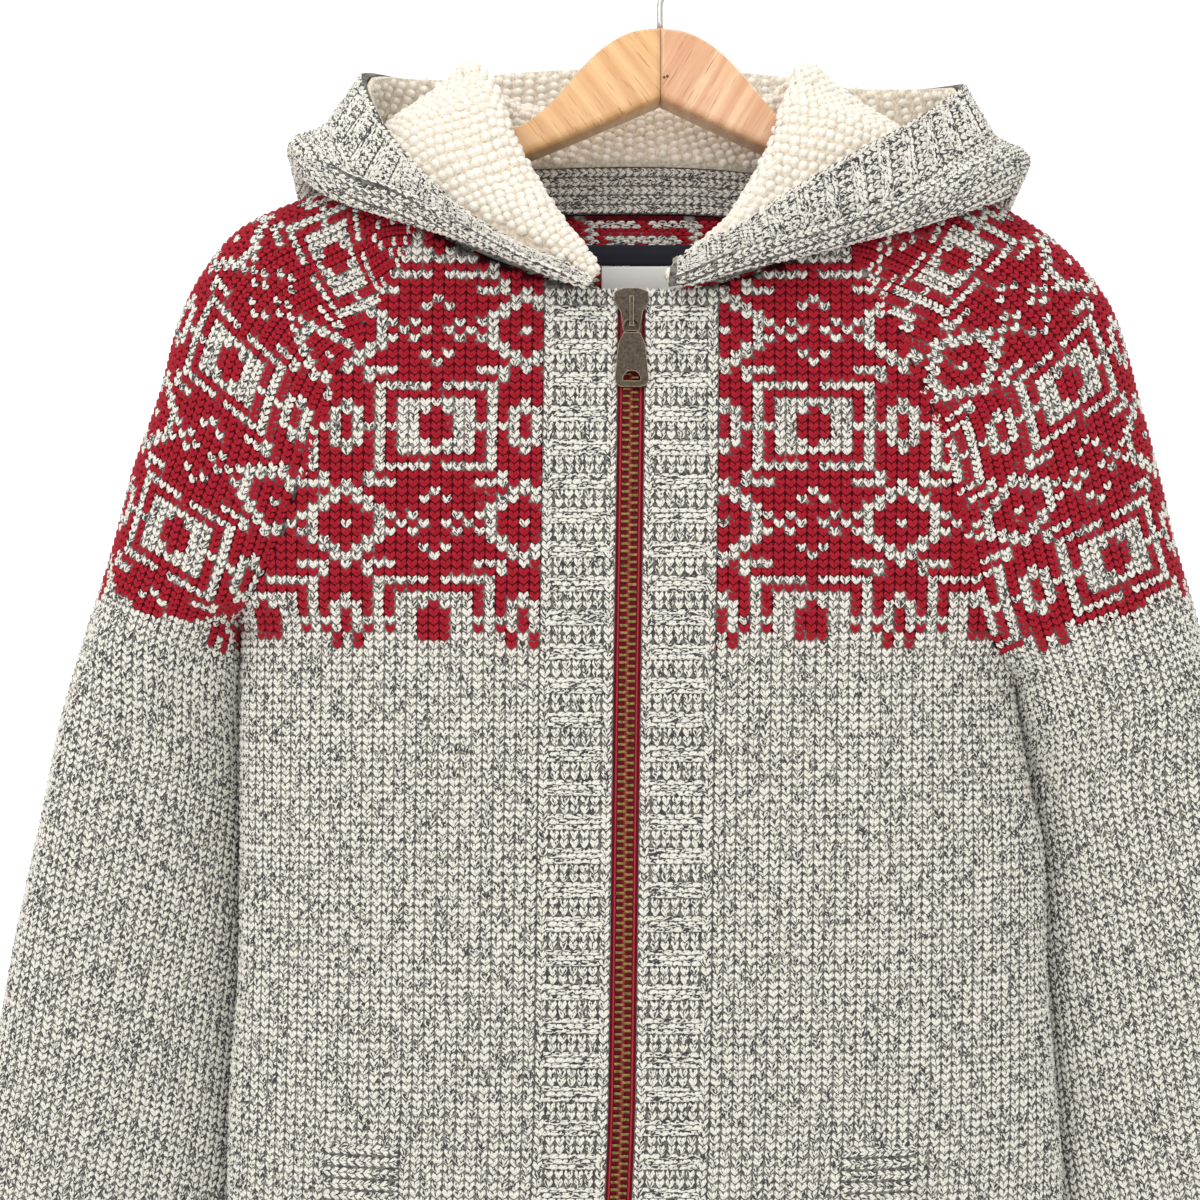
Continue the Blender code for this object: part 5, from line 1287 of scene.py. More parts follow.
def build_finishes(tones):
    """Every material of the hoodie."""
    twist, wear, weave = twist_effect(), wear_effect(), weave_effect()
    yarns = {name.capitalize(): (*getattr(tones, name), 1.0) for name in YARNS}

    def shade_of(tree):
        return node(tree, "ShaderNodeAttribute", attribute_name="shade").outputs["Fac"]

    def yarn(socket):
        def made(tree):
            if "yarn" not in tree.nodes:
                flat = node(tree, "ShaderNodeUVMap", uv_map="strand").outputs["UV"]
                outputs = place(tree, twist, {"Map": flat, "Shade": shade_of(tree), **yarns})
                outputs["Color"].node.name = "yarn"
            return tree.nodes["yarn"].outputs[socket]
        return made

    # Painted shade: the ground that shows between the stitches is coloured dark red or dark grey for the
    # shade that falls between their legs, in soft clouds of two tones.
    def ground_shadow_colour(tree):
        cloud = ramp(tree, noise(tree, spot(tree), 420.0, 2.0), .42, .58)
        marl = mix(tree, cloud, linear((128, 123, 115)), linear((78, 76, 76)))
        red = mix(tree, cloud, linear((88, 12, 22)), linear((60, 8, 16)))
        return mix(tree, ramp(tree, shade_of(tree), .35, .65), red, marl)

    def woven(first, second, threads):
        """The colour and the height of a weave."""
        return (lambda tree: mix(tree, place(tree, weave, {"Map": spot(tree), "Threads": threads})["Mask"],
                                 linear(first), linear(second)),
                lambda tree: place(tree, weave, {"Map": spot(tree), "Threads": threads})["Height"])

    def rubbed(first, second, scale, amount):
        return lambda tree: mix(tree, place(tree, wear, {"Scale": scale, "Amount": amount})["Mask"],
                                linear(first), linear(second))

    def worn_with_edge_highlights(first, second, scale, amount, edge):
        """The same with bright edges, where a rounded normal turns away from the true one: a painted
        highlight along the edges, over the rubbed wear.
        """
        def made(tree):
            soft = node(tree, "ShaderNodeBevel", {"Radius": .0005}, samples=4).outputs["Normal"]
            true = node(tree, "ShaderNodeNewGeometry").outputs["Normal"]
            turned = node(tree, "ShaderNodeVectorMath", {0: soft, 1: true}, operation="DOT_PRODUCT")
            # Painted highlight: the edges are mixed towards a bright colour.
            rim = ramp(tree, turned.outputs["Value"], .80, .985, .9, 0)
            return mix(tree, rim, rubbed(first, second, scale, amount)(tree), linear(edge))
        return made

    def rubbed_height(scale):
        return lambda tree: place(tree, wear, {"Scale": scale})["Height"]

    def wood_colour(angle, base, line, pores):
        """Grain: long stretched noise turned to the arm's direction, with rings and short dark pores."""
        def made(tree):
            turned = stretch(tree, spot(tree), Rotation=(0, math.radians(angle), 0))
            grain = noise(tree, stretch(tree, turned, Scale=(9, 60, 150)), 1.0, 5.0, Roughness=.62,
                          Distortion=.4)
            waves = {"Vector": stretch(tree, turned, Scale=(4, 30, 46)), "Scale": .6, "Distortion": 5.0,
                     "Detail": 2.0, "Detail Scale": 1.2}
            bands = node(tree, "ShaderNodeTexWave", waves, bands_direction="Z").outputs["Fac"]
            dots = noise(tree, stretch(tree, turned, Scale=(60, 300, 1500)), 1.0, 1.0)
            colour = mix(tree, ramp(tree, grain, .35, .7), linear(base), linear(line))
            colour = mix(tree, ramp(tree, bands, .5, 1, 0, .55), colour, linear(line))
            return mix(tree, ramp(tree, dots, .64, .72, 0, .7), colour, linear(pores))
        return made

    finish("knit_stitches", yarn("Color"), .92, bump=yarn("Height"), strength=.55, distance=.00022,
           Specular_IOR_Level=.15, Sheen_Weight=.08, Sheen_Roughness=.5)
    # The knit's ground, dark with painted shade between the stitches.
    finish("shadowed_knit_ground", ground_shadow_colour, .95, bump=lumpy(900), strength=.5, Specular_IOR_Level=.1)
    finish("popcorn_pile", cloudy(900, (246, 240, 228), (232, 223, 208)), .96, bump=lumpy(2600), strength=.7,
           distance=.0005, Specular_IOR_Level=.1, Sheen_Weight=.35, Sheen_Roughness=.6)
    finish("pile_ground", cloudy(500, (232, 222, 206), (190, 176, 156)), .97, bump=lumpy(1500), strength=.6,
           Specular_IOR_Level=.05)
    finish("tooth_cord", cloudy(1500, (190, 26, 48), (150, 18, 36)), .8, bump=lumpy(3000), strength=.4)
    finish("pin_mark", cloudy(2500, (92, 62, 40), (58, 38, 26)), .6, bump=lumpy(4000), strength=.2)
    for name, first, second, threads, rough, strength, distance, sockets in (
            ("zip_tape_weave", (120, 20, 36), (168, 34, 52), 9000, .85, .4, .0002, {}),
            ("navy_tape_weave", (26, 26, 38), (46, 46, 60), 5200, .9, .6, .0003, {}),
            ("satin_label", (252, 251, 247), (240, 239, 234), 16000, .55, .25, .0001, {"Sheen_Weight": .2}),
            ("label_strip", (196, 170, 132), (172, 146, 108), 14000, .7, .3, .0001, {})):
        colour, height = woven(first, second, threads)
        finish(name, colour, rough, bump=height, strength=strength, distance=distance, **sockets)
    finish("antique_brass", rubbed((150, 126, 78), (58, 48, 30), 700, .95), .38, 1.0,
           bump=rubbed_height(1200), strength=.25, distance=.0001)
    # Dark bronze, rubbed, with painted highlights along its edges.
    finish("dark_bronze", worn_with_edge_highlights((84, 74, 64), (36, 32, 29), 700, .9, (206, 186, 150)), .38, .9,
           bump=rubbed_height(900), strength=.3, distance=.0002)
    finish("hook_steel", rubbed((206, 204, 198), (150, 148, 142), 300, .5), .28, 1.0,
           bump=rubbed_height(1500), strength=.1, distance=.0001)
    for name, *looks in (("honey_wood", -52, (224, 178, 124), (198, 146, 92), (150, 98, 56)),
                         ("pink_wood", 58, (226, 182, 142), (196, 140, 100), (140, 88, 56))):
        finish(name, wood_colour(*looks), .42, bump=lumpy(700), strength=.08, Coat_Weight=.35,
               Coat_Roughness=.2)


# ---------------------------------------------------------------- settings
class HoodieSizes(bpy.types.PropertyGroup):
    """Sizes of the stitches that a user would change."""
    wale: FloatProperty(name="Stitch width", description="Width of one plain stitch", default=.0056,
                        min=.003, unit="LENGTH")
    course: FloatProperty(name="Stitch height", description="Height of one plain stitch", default=.00405,
                          min=.002, unit="LENGTH")
    yarn: FloatProperty(name="Yarn thickness", description="Thickness of the yarn, 1 as in the photo",
                        default=1.0, min=.5, max=1.5)
    bobble: FloatProperty(name="Pile bobble", description="Distance between the bobbles of the lining",
                          default=.0047, min=.003, unit="LENGTH")
    tooth: FloatProperty(name="Tooth pitch", description="Distance between the teeth of one side of the zip",
                         default=.00372, min=.002, unit="LENGTH")


def tone(name, description, rgb):
    return FloatVectorProperty(name=name, description=description, default=linear(rgb)[:3], size=3, min=0,
                               max=1, subtype="COLOR")


class HoodieTones(bpy.types.PropertyGroup):
    """Colours of the yarns."""
    red: tone("Red yarn", "Ground colour of the yoke", YARNS["red"])
    cream: tone("Marl, light ply", "Light ply of the marl yarn", YARNS["cream"])
    charcoal: tone("Marl, dark ply", "Dark ply of the marl yarn", YARNS["charcoal"])


# ---------------------------------------------------------------- operators, one a piece or group
class HOODIE_OT_finishes(bpy.types.Operator):
    """Builds the yarns, pile, tapes, metals and woods"""
    bl_idname = "hoodie.finishes"
    bl_label = "Yarns and finishes"

    def execute(self, context):
        build_finishes(context.scene.hoodie_tones)
        return {"FINISHED"}


class HOODIE_OT_fronts(bpy.types.Operator):
    """Knits the two fronts: the patterned yoke above, marl below"""
    bl_idname = "hoodie.fronts"
    bl_label = "Fronts"

    def execute(self, context):
        sizes = context.scene.hoodie_sizes
        for name, side in SIDES:
            axis = FRONT_AXIS[side]
            grid = front_grid(side, np.linspace(0, 2, 90), 30)
            height = grid[..., 2]
            shade = torso_yarn(sizes, arc_from_first(grid) / sizes.wale - axis, height, height)
            ground = shadowed_knit_ground(f"front_{name}", *ground_wall(grid, facing(grid, (0, -1, 0))), shade)
            table, heights = front_table(side, sizes)
            strands = Strands(11 + side)

            def shade_of(cols, rows, here):
                return torso_yarn(sizes, cols / 2 - axis, heights[rows], here[:, 2])

            stitches_over(strands, table, shade_of, on_panel, sizes.yarn, side == 1)
            knit = strands.piece(f"front_{name}_knit")
            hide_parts(f"front_{name}")
        return {"FINISHED"}


BACK_MIDDLE = BACK_ACROSS - 1    # the back table's column on the centre plane
PURL_FOOT = -.205                # height down to which the purl side inside the neck is modelled
PURL_REACH = 38                  # and how many half wales it reaches out, and half courses down


class HOODIE_OT_back(bpy.types.Operator):
    """Knits the back, and the purl side that shows inside the neck"""
    bl_idname = "hoodie.back"
    bl_label = "Back"

    def execute(self, context):
        sizes = context.scene.hoodie_sizes
        grid = back_grid(np.linspace(0, 2, 84), 50)
        run = arc_from_first(grid)
        middle = np.argmin(np.abs(grid[..., 0] - CENTRE_X), axis=1)
        run = run - run[np.arange(len(run)), middle][:, None]
        shade = torso_yarn(sizes, run / sizes.wale, grid[..., 2], grid[..., 2])
        ground = shadowed_knit_ground("body_back", *ground_wall(grid, facing(grid, (0, 1, 0))), shade)
        table, heights = back_table(sizes)
        strands = Strands(21, True)

        def shade_of(cols, rows, here):
            return torso_yarn(sizes, (cols - BACK_MIDDLE) / 2, heights[rows], here[:, 2])

        stitches_over(strands, table, shade_of, on_panel, sizes.yarn, False)
        knit = strands.piece("body_back_knit")
        strands = Strands(22)
        cols = np.arange(BACK_MIDDLE - PURL_REACH, BACK_MIDDLE + PURL_REACH + 2, 2)
        rows, cols = np.meshgrid(np.arange(1, PURL_REACH + 2, 2), cols, indexing="ij")
        here = table[rows, cols]
        good = (here[..., STATION] > .004) & (here[..., 2] > PURL_FOOT) & (np.abs(here[..., SHARE]) < .97)
        rows, cols, here = rows[good].astype(float), cols[good].astype(float), here[good]
        shade = torso_yarn(sizes, (cols - BACK_MIDDLE) / 2, here[:, 2], here[:, 2])
        for shift in (0, .98):
            centre, across, up, out = stitch_frames(table, rows + shift, cols + shift, 2, 2)
            strands.bump((centre + out * (WALL - .0003), across * .9, up, out), shade, sizes.yarn * .85)
        inside = strands.piece("body_back_inside", "yoke_knit")
        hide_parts("body_back")
        return {"FINISHED"}


class HOODIE_OT_sleeves(bpy.types.Operator):
    """Knits the raglan sleeves with their patterned tops"""
    bl_idname = "hoodie.sleeves"
    bl_label = "Sleeves"

    def execute(self, context):
        sizes = context.scene.hoodie_sizes
        for name, side in SIDES:
            stations, turns = np.linspace(0, 2, 81), np.linspace(1, -1, 49)
            grid = sleeve_surface(side, stations, turns)
            away = grid - grid.mean(axis=1, keepdims=True)
            normals = np.where((stations >= 1)[:, None, None], facing(grid, away, True), facing(grid, away))
            across, fold = arc_from_first(grid), len(turns) // 2
            across = across[:, fold:fold + 1] - across
            shade = sleeve_yarn(side, sizes, sleeve_down(side, stations[:, None], turns[None, :]), across)
            ground = shadowed_knit_ground(f"sleeve_{name}", *ground_wall(grid, normals), shade)
            table, downs = sleeve_table(side, sizes)
            strands = Strands(31 + side, True)

            def shade_of(cols, rows, here):
                return sleeve_yarn(side, sizes, downs[rows], (cols - SLEEVE_ACROSS + 1) / 2 * sizes.wale)

            stitches_over(strands, table, shade_of, on_panel, sizes.yarn, side == -1)
            knit = strands.piece(f"sleeve_{name}_knit")
            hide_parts(f"sleeve_{name}")
        return {"FINISHED"}


CUFF_TOP = 1.992                 # the ribs begin a little over the ground's edge
HEM_HEIGHTS = (-.7420, -.7995)
HEM_ACROSS = 200                 # points across the longest piece of the hem, half a wale apart
ZIP_HEIGHTS = (-.2014, -.7985)   # heights between which the zip bands carry stitches


class HOODIE_OT_ribs(bpy.types.Operator):
    """Knits the ribbed hem and cuffs"""
    bl_idname = "hoodie.ribs"
    bl_label = "Hem and cuffs"

    def execute(self, context):
        sizes = context.scene.hoodie_sizes
        stations = np.linspace(2, 3, 16)
        for name, side in SIDES:
            grid = sleeve_surface(side, stations, np.linspace(1, -1, 61))
            normals = facing(grid, grid - grid.mean(axis=1, keepdims=True), True)
            ground = shadowed_knit_ground(f"cuff_{name}", *ground_wall(grid, normals), closed=True)
            table, _ = sleeve_table(side, sizes, CUFF_TOP, 3.0)
            strands = Strands(41 + side, True)
            rib_stitches(strands, table, sizes, side == -1, lambda here: np.abs(here[..., SHARE]) < .985)
            knit = strands.piece(f"cuff_{name}_knit")
            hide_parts(f"cuff_{name}")
        fine = np.linspace(1.9, 3.02, 60)
        pieces = [(f"hem_front_{name}", front_grid(side, stations, 30), front_grid(side, fine, 40), side == 1)
                  for name, side in SIDES]
        pieces.append(("hem_back", back_grid(stations, 60), back_grid(fine, 80), False))
        for i, (name, grid, line, faces_out) in enumerate(pieces):
            way = (0, 1 if name == "hem_back" else -1, 0)
            ground = shadowed_knit_ground(name, *ground_wall(grid, facing(grid, way)))
            heights = np.arange(*HEM_HEIGHTS, -sizes.course / 2)
            line = with_channels(line, fine, np.linspace(0, 1, line.shape[1]))
            table = spaced(lines_at(line, heights), sizes.wale / 2, HEM_ACROSS)
            strands = Strands(51 + i, True)
            rib_stitches(strands, table, sizes, faces_out,
                         lambda here: (here[..., SHARE] > .004) & (here[..., SHARE] < .994))
            knit = strands.piece(f"{name}_knit")
            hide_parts(name)
        return {"FINISHED"}


class HOODIE_OT_zip_bands(bpy.types.Operator):
    """Knits the block-stitch bands beside the zip"""
    bl_idname = "hoodie.zip_bands"
    bl_label = "Zip bands"

    def execute(self, context):
        sizes = context.scene.hoodie_sizes
        stations = np.linspace(0, 3, 160)
        for name, side in SIDES:
            grid = band_grid(side, stations, 14)
            ground = shadowed_knit_ground(f"zip_band_{name}", *ground_wall(grid, facing(grid, (0, -1, 0))))
            heights = np.arange(*ZIP_HEIGHTS, -BAND_COURSE / 4)
            table = lines_at(band_grid(side, stations, 100), heights)
            strands = Strands(61 + side)
            block_stitches(strands, table[:, ::side], sizes.yarn)
            knit = strands.piece(f"zip_band_{name}_knit")
            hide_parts(f"zip_band_{name}")
        return {"FINISHED"}


HOOD_ACROSS = 111                # a hood panel's points across, half a wale apart
HOOD_RUN = 14                    # the column along which its courses are counted
HOOD_FINER = 4                   # steps between its neighbouring rows and columns
HOOD_UNSEEN = 7                  # its columns up to the middle layer carry no stitches, as they can't be seen


class HOODIE_OT_hood(bpy.types.Operator):
    """Knits the hood's two panels and the block-stitch band round its face"""
    bl_idname = "hoodie.hood"
    bl_label = "Hood"

    def execute(self, context):
        sizes = context.scene.hoodie_sizes
        walls = hood_walls()
        for name in ("right", "left"):
            outer, inner = smoothed(walls[name], HOOD_FINER, HOOD_FINER)
            ground = shadowed_knit_ground(f"hood_{name}", outer, inner)
            lines = outer[:, :HOOD_UNSEEN * HOOD_FINER:-1]
            lines = with_channels(lines, np.linspace(0, 1, len(lines)), np.linspace(0, 1, lines.shape[1]))
            table = spaced(lines, sizes.wale / 2, HOOD_ACROSS)
            table = even_rows(table, table[:, HOOD_RUN, :3], sizes.course / 2)
            strands = Strands(71 + (name == "left"), True)
            stitches_over(strands, table, lambda cols, rows, here: MARL, lambda here: here[..., SHARE] < .97,
                          sizes.yarn * .95, stitches_face_out(table, 20.0, 2, 2, outer, inner))
            knit = strands.piece(f"hood_{name}_knit")
            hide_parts(f"hood_{name}")
        outer, inner = smoothed(walls["band"], 5, 6)
        ground = shadowed_knit_ground("hood_band", outer, inner)
        lines = smoothed(walls["band"][:1], 8, 30)[0]
        run = arc_from_first(lines)
        even = across_at(lines, run / run[:, -1:], np.linspace(0, 1, 101))
        table = even_rows(even, even[:, -1], BAND_COURSE / 4)
        if not stitches_face_out(table, 50.0, 4, 14, outer, inner):
            table = table[:, ::-1]
        strands = Strands(75)
        block_stitches(strands, table, sizes.yarn)
        knit = strands.piece("hood_band_knit")
        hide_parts("hood_band")
        return {"FINISHED"}


# By column of the lining: inside the fold, where the wall lies pressed between two layers of knit, it is
# drawn thinner and further in, and it carries no bobbles.
FOLD_THINNER = ((5.5, 7.5, 13, 14.5), (0, .36, .36, 0))
FOLD_NEARER = ((11.4, 12.2, 12.9, 13.7), (0, -.0042, -.0042, 0))
PILE_HIDDEN = (7.4, 12.2)
LINING_FINER = (3, 4)            # steps between neighbouring rows and columns
PILE_ACROSS = 130                # bobbles across the lining at most
PILE_RUN = 9                     # the column along which its rows of bobbles are counted


class HOODIE_OT_lining(bpy.types.Operator):
    """Lays the popcorn-pile lining inside the hood"""
    bl_idname = "hoodie.lining"
    bl_label = "Hood lining"

    def execute(self, context):
        sizes = context.scene.hoodie_sizes
        outer, inner = smoothed(hood_walls()["lining"], *LINING_FINER)
        column = np.arange(outer.shape[1]) / LINING_FINER[1]
        thinner, nearer = (np.interp(column, *table)[None, :, None] for table in (FOLD_THINNER, FOLD_NEARER))
        nearer = unit(outer - inner) * nearer
        outer, inner = outer + (inner - outer) * thinner + nearer, inner + (outer - inner) * thinner + nearer
        ground = shell("hood_lining_ground", outer, inner, "pile_ground")
        lines = with_channels(inner, np.arange(len(inner)) / LINING_FINER[0], column)
        table = spaced(lines, sizes.bobble, PILE_ACROSS)
        at = row_places(table[:, PILE_RUN, :3], sizes.bobble * 1.05)
        i, j = np.meshgrid(at, np.arange(1.0, PILE_ACROSS - 1), indexing="ij")
        j = j + .5 * (np.arange(len(at)) % 2)[:, None]
        own = read_table(table, i, j)[..., SHARE]
        hidden = (own > PILE_HIDDEN[0]) & (own < PILE_HIDDEN[1])
        good = (own < column[-1] - .06) & ~hidden & (i > .6) & (i < len(table) - 1.6)
        i, j = i[good], j[good]
        centre, across, up, _ = stitch_frames(table, i, j, 2, 1)
        row = np.clip(np.round(i).astype(int), 0, len(outer) - 1)
        col = np.clip(np.round(own[good] * LINING_FINER[1]).astype(int), 0, outer.shape[1] - 1)
        chance = np.random.default_rng(80)
        wide = np.minimum(np.linalg.norm(across, axis=1), sizes.bobble * 1.12)
        radius = wide * (.56 + .12 * chance.random(len(wide)))
        for way, stray in ((across, .0014), (up, .0012)):
            centre = centre + unit(way) * (chance.random((len(wide), 1)) - .5) * stray
        frames = (centre, across, up, unit(inner[row, col] - outer[row, col]))
        points, faces = domes(frames, radius, radius * (.68 + .26 * chance.random(len(wide))))
        mesh = mesh_from("hood_lining_pile", points, faces)
        pile = add_piece("hood_lining_pile", mesh, "popcorn_pile")
        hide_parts("hood_lining")
        return {"FINISHED"}


def opening_line(offset, depth, stations):
    """A line down the front opening: offset from the zip's middle, depth behind the cloth's face."""
    x = (zip_x(stations) + offset)[:, None]
    line = torso_surface(stations, x, 1)[:, 0]
    line[:, 1] += depth
    return line


ZIP_DEPTH = WALL + SEAM          # depth of the tapes behind the cloth's face
# name, place from the zip's middle, radius, height of the cord's middle over the tape's edge
ZIP_CORDS = (("middle", 0, .0011, .0002), ("right", -.0050, .0006, .0006), ("left", .0050, .0006, .0006))
TOOTH_FROM = .06                 # station of the top tooth, under the slider
TOOTH_START = {-1: .5, 1: 0}     # the two rows stand half a pitch apart
TOOTH_HALF = (.00096, .00112)    # a tooth's half height and half depth
# a tooth's rings: place outwards, shares of both halves
TOOTH = np.array([(-.0006, .60, .50), (-.0001, .86, .84), (.0012, .92, 1.0), (.0022, .80, .66),
                  (.0034, .92, 1.0), (.0041, .95, .92), (.0044, .70, .60)])
TOOTH_SECTION = np.array([(-.62, -1), (.62, -1), (1, -.55), (1, .55), (.62, 1), (-.62, 1), (-1, .55),
                          (-1, -.55)])          # its bevelled outline: height, depth


class HOODIE_OT_zip(bpy.types.Operator):
    """Makes the zip: woven tapes, cords and metal teeth; finishes the slider and its pull"""
    bl_idname = "hoodie.zip"
    bl_label = "Zip"

    def execute(self, context):
        sizes = context.scene.hoodie_sizes
        stations = np.linspace(0, 3, 100)
        for name, side in SIDES:
            offsets = np.linspace(SEAM / 2, TAPE_HALF, 9)
            grid = np.stack([opening_line(side * o, ZIP_DEPTH, stations) for o in offsets], axis=1)
            tape = shell(f"zip_tape_{name}_cloth", grid, grid + np.array([0, TAPE_THICK, 0]),
                         "zip_tape_weave")
            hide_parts(f"zip_tape_{name}")
        for name, offset, radius, above in ZIP_CORDS:
            path = opening_line(offset, ZIP_DEPTH - .0011 - above, stations)
            grid = carried(path, np.array([[1.0, 0, 0]]), np.array([[0, 1.0, 0]]), circle(8) * radius)
            closed_tube(f"zip_cord_{name}", grid, "tooth_cord")
        fine = np.linspace(TOOTH_FROM, 3, 900)
        down = lengths(opening_line(0, 0, fine))
        out, tall, deep = (TOOTH * (1, *TOOTH_HALF)).T[..., None]
        rings, corners = len(TOOTH), len(TOOTH_SECTION)
        index = numbered(rings, corners, True)
        first, last = index[0], index[-1]
        faces = np.concatenate([triangles(index)]
                               + [[(first[0], first[k], first[k + 1]) for k in range(1, corners - 1)]]
                               + [[(last[0], last[k + 1], last[k]) for k in range(1, corners - 1)]])
        points, whole, count = [], [], 0
        for _, side in SIDES:
            at = np.arange(TOOTH_START[side] * sizes.tooth, down[-1] - .001, sizes.tooth)
            at = np.interp(at, down, fine)
            middle = opening_line(0, ZIP_DEPTH - SEAM - CHAIN_THICK / 2 - .0002, at)
            tooth = np.stack([np.broadcast_to(side * out, (rings, corners)), deep * TOOTH_SECTION[:, 1],
                              tall * TOOTH_SECTION[:, 0]], -1)
            points.append(middle[:, None, None, :] + tooth[None])
            number = count + np.arange(len(at))[:, None, None]
            whole.append((faces[:, ::side][None] + rings * corners * number).reshape(-1, 3))
            count += len(at)
        mesh = mesh_from("zip_teeth", np.concatenate(points).reshape(-1, 3), np.concatenate(whole))
        teeth = add_piece("zip_teeth", mesh, "antique_brass")
        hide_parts("zip_chain")
        for name in ("zip_slider", "zip_pull"):
            for slot in bpy.data.objects[name].material_slots:
                slot.material = bpy.data.materials["dark_bronze"]
        return {"FINISHED"}


def laid_inside(name, x, heights, thick, finish_name, bow=0.0):
    """A flat trim inside the back, over the given x (from the centre plane) and heights."""
    fine = np.linspace(0, 1.2, 200)
    grid = torso_surface(fine, np.tile(x, (len(fine), 1)), -1)
    points = np.empty((len(heights), len(x), 3))
    for j in range(len(x)):
        for k in range(2):
            points[:, j, k] = np.interp(-heights, -grid[:, j, 2], grid[:, j, k])
    points[..., 1] -= WALL + TRIM_CLEAR + bow * np.sin(np.linspace(0, math.pi, len(heights)))[:, None]
    points[..., 2] = heights[:, None]
    return shell(name, points, points - np.array([0, thick, 0]), finish_name)


NECK_COLUMNS = 11                # points up the strip inside the neck
STRIP = (.019, -.009)            # width and middle of the small strip under the label


class HOODIE_OT_neck(bpy.types.Operator):
    """Makes the ribbed strip, the navy tape and the blank label inside the neck"""
    bl_idname = "hoodie.neck"
    bl_label = "Neck trims"

    def execute(self, context):
        sizes = context.scene.hoodie_sizes
        ps = np.linspace(0, NECK_RIB_END, 40)
        strips, ways = [], []
        for _, side in SIDES:
            order = ps if side == 1 else ps[::-1]
            lay = read(LAY_COLUMNS, LAY, order)
            low = neck_ring(side, order)
            high = low.copy()
            low[:, 2] += TRIM_CLEAR
            high[:, 2] += lay["stand"] - SEAM
            share = np.linspace(0, 1, NECK_COLUMNS)[None, :, None]
            new = slice(0 if side == -1 else 1, None)   # the left half leaves out the centre line
            strips.append((low[:, None] * (1 - share) + high[:, None] * share)[new])
            ways.append(lie(side, lay)[new, None])
        outer, way = np.concatenate(strips), np.concatenate(ways)
        inside = outer - way * (WALL - TRIM_CLEAR)
        ground = shadowed_knit_ground("neck_rib", outer, inside)
        table = even_rows(inside, inside[:, 0], sizes.course / 2)
        places = row_places(inside[:, 0], sizes.course / 2)
        rows = np.arange(1, len(table) - 2, 2).astype(float)
        strands = Strands(90)
        for col in np.arange(1.05, NECK_COLUMNS - 1, 2):
            centre, across, up, out = stitch_frames(table, rows, np.full(len(rows), col), 2, 1.85)
            outwards = read_table(way.repeat(2, 1), np.interp(rows, np.arange(len(places)), places), 0 * rows)
            if (out * outwards).sum() > 0:
                across, out = -across, -out
            strands.vee((centre, across, up, out), MARL, sizes.yarn * .9, .0004)
        knit = strands.piece("neck_rib_knit")
        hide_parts("neck_rib")
        for name, z, half, finish_name, slot in (
                ("neck_tape", NECK_TAPE_Z, NECK_TAPE_HALF, "navy_tape_weave", "navy_tape"),
                ("neck_label", LABEL_Z, LABEL_HALF, "satin_label", "label")):
            made = laid_inside(f"{name}_cloth", np.linspace(-half, half, 60), np.linspace(z[1], z[0], 9),
                               TRIM_THICK, finish_name, .0005)
            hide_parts(name)
        laid_inside("neck_label_strip", np.linspace(-.5, .5, 12) * STRIP[0] + STRIP[1],
                    np.linspace(LABEL_Z[0] - .0042, LABEL_Z[0] + .0010, 5), .0006, "label_strip")
        return {"FINISHED"}


WELT_GRID = (53, 20)             # points down and across a welt
WELT_PUFF = .0022                # how far its middle stands off the front


class HOODIE_OT_pockets(bpy.types.Operator):
    """Knits the pocket welts, ribbed across"""
    bl_idname = "hoodie.pockets"
    bl_label = "Pocket welts"

    def execute(self, context):
        sizes = context.scene.hoodie_sizes
        for name, side in SIDES:
            rows, cols = WELT_GRID
            heights = np.linspace(WELT_TOP_Z, WELT_TOP_Z - WELT_LENGTH, rows)
            lines = lines_at(front_grid(side, np.linspace(1.4, 2, 80), 60), heights)
            want = WELT_MIDDLE[side] + np.linspace(-.5, .5, cols) * WELT_WIDTH
            strip = across_at(lines, np.abs(lines[..., 0] - CENTRE_X), want)
            normals = facing(strip, (0, -1, 0))
            v, u = np.linspace(-1, 1, rows)[:, None], np.linspace(-1, 1, cols)[None, :]
            puff = .0005 + (1 - v**8) * (1 - u**8) * WELT_PUFF
            outer = strip + normals * puff[..., None]
            ground = shadowed_knit_ground(f"pocket_welt_{name}", outer, strip + normals * .0003)
            strands = Strands(95 + side)
            places = np.arange(1.15, cols - 1.5, 2.1), np.arange(1.5, rows - 2, 2.9)
            i, j = (a.ravel() for a in np.meshgrid(*places, indexing="ij"))
            centre, across, up, out = stitch_frames(np.swapaxes(outer, 0, 1), i, j, 2.1, 2.65)
            if out[:, 1].mean() > 0:
                across, out = -across, -out
            strands.vee((centre, across, up, out), MARL, sizes.yarn * .95, .0004)
            knit = strands.piece(f"pocket_welt_{name}_knit")
            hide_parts(f"pocket_welt_{name}")
        return {"FINISHED"}


SHOULDER_STATIONS = (0, .12, .25, .4, .55)
HIDDEN_ARM = ((.150, 0, .0140), (.170, 0, .0140), (.190, 0, .0140), (.205, .003, .0120),
              (HANGER_REACH, .010, .0120))   # x, how far the top's end is rounded down, half the depth
PINS = ((.0018, -.0886), (.0034, -.0880))    # places of the two pin marks
PIN_RINGS = ((-.0121, .0007), (-.0127, .0007), (-.01285, .0003))   # y and radius
HOOK_TURN = (-58, 205)           # degrees at which the hook's bend begins and ends
HOOK_PULL = (.0005, .0045)       # how the stem's curve leans: out from the stem, and down from the bend
HOOK_TIP = (.98, .9, .7, .35)    # the wire's last rings, rounded off


def arm_rows(side):
    """The table's stations, then hidden ones whose top follows the inside of the shoulder it carries."""
    rows = [list(r) for r in HANGER_ARM]
    ridge = sleeve_surface(side, SHOULDER_STATIONS, [0])[:, 0]
    for x, drop, half in HIDDEN_ARM:
        top = np.interp(x, np.abs(ridge[:, 0]), ridge[:, 2]) - WALL * 1.12 - HANGER_SEAT - HANGER_DROP
        top += side * x * math.tan(HANGER_TILT)
        rows.append([x, top - drop, top - HANGER_HEIGHT + drop * .4, half])
    return np.array(rows)


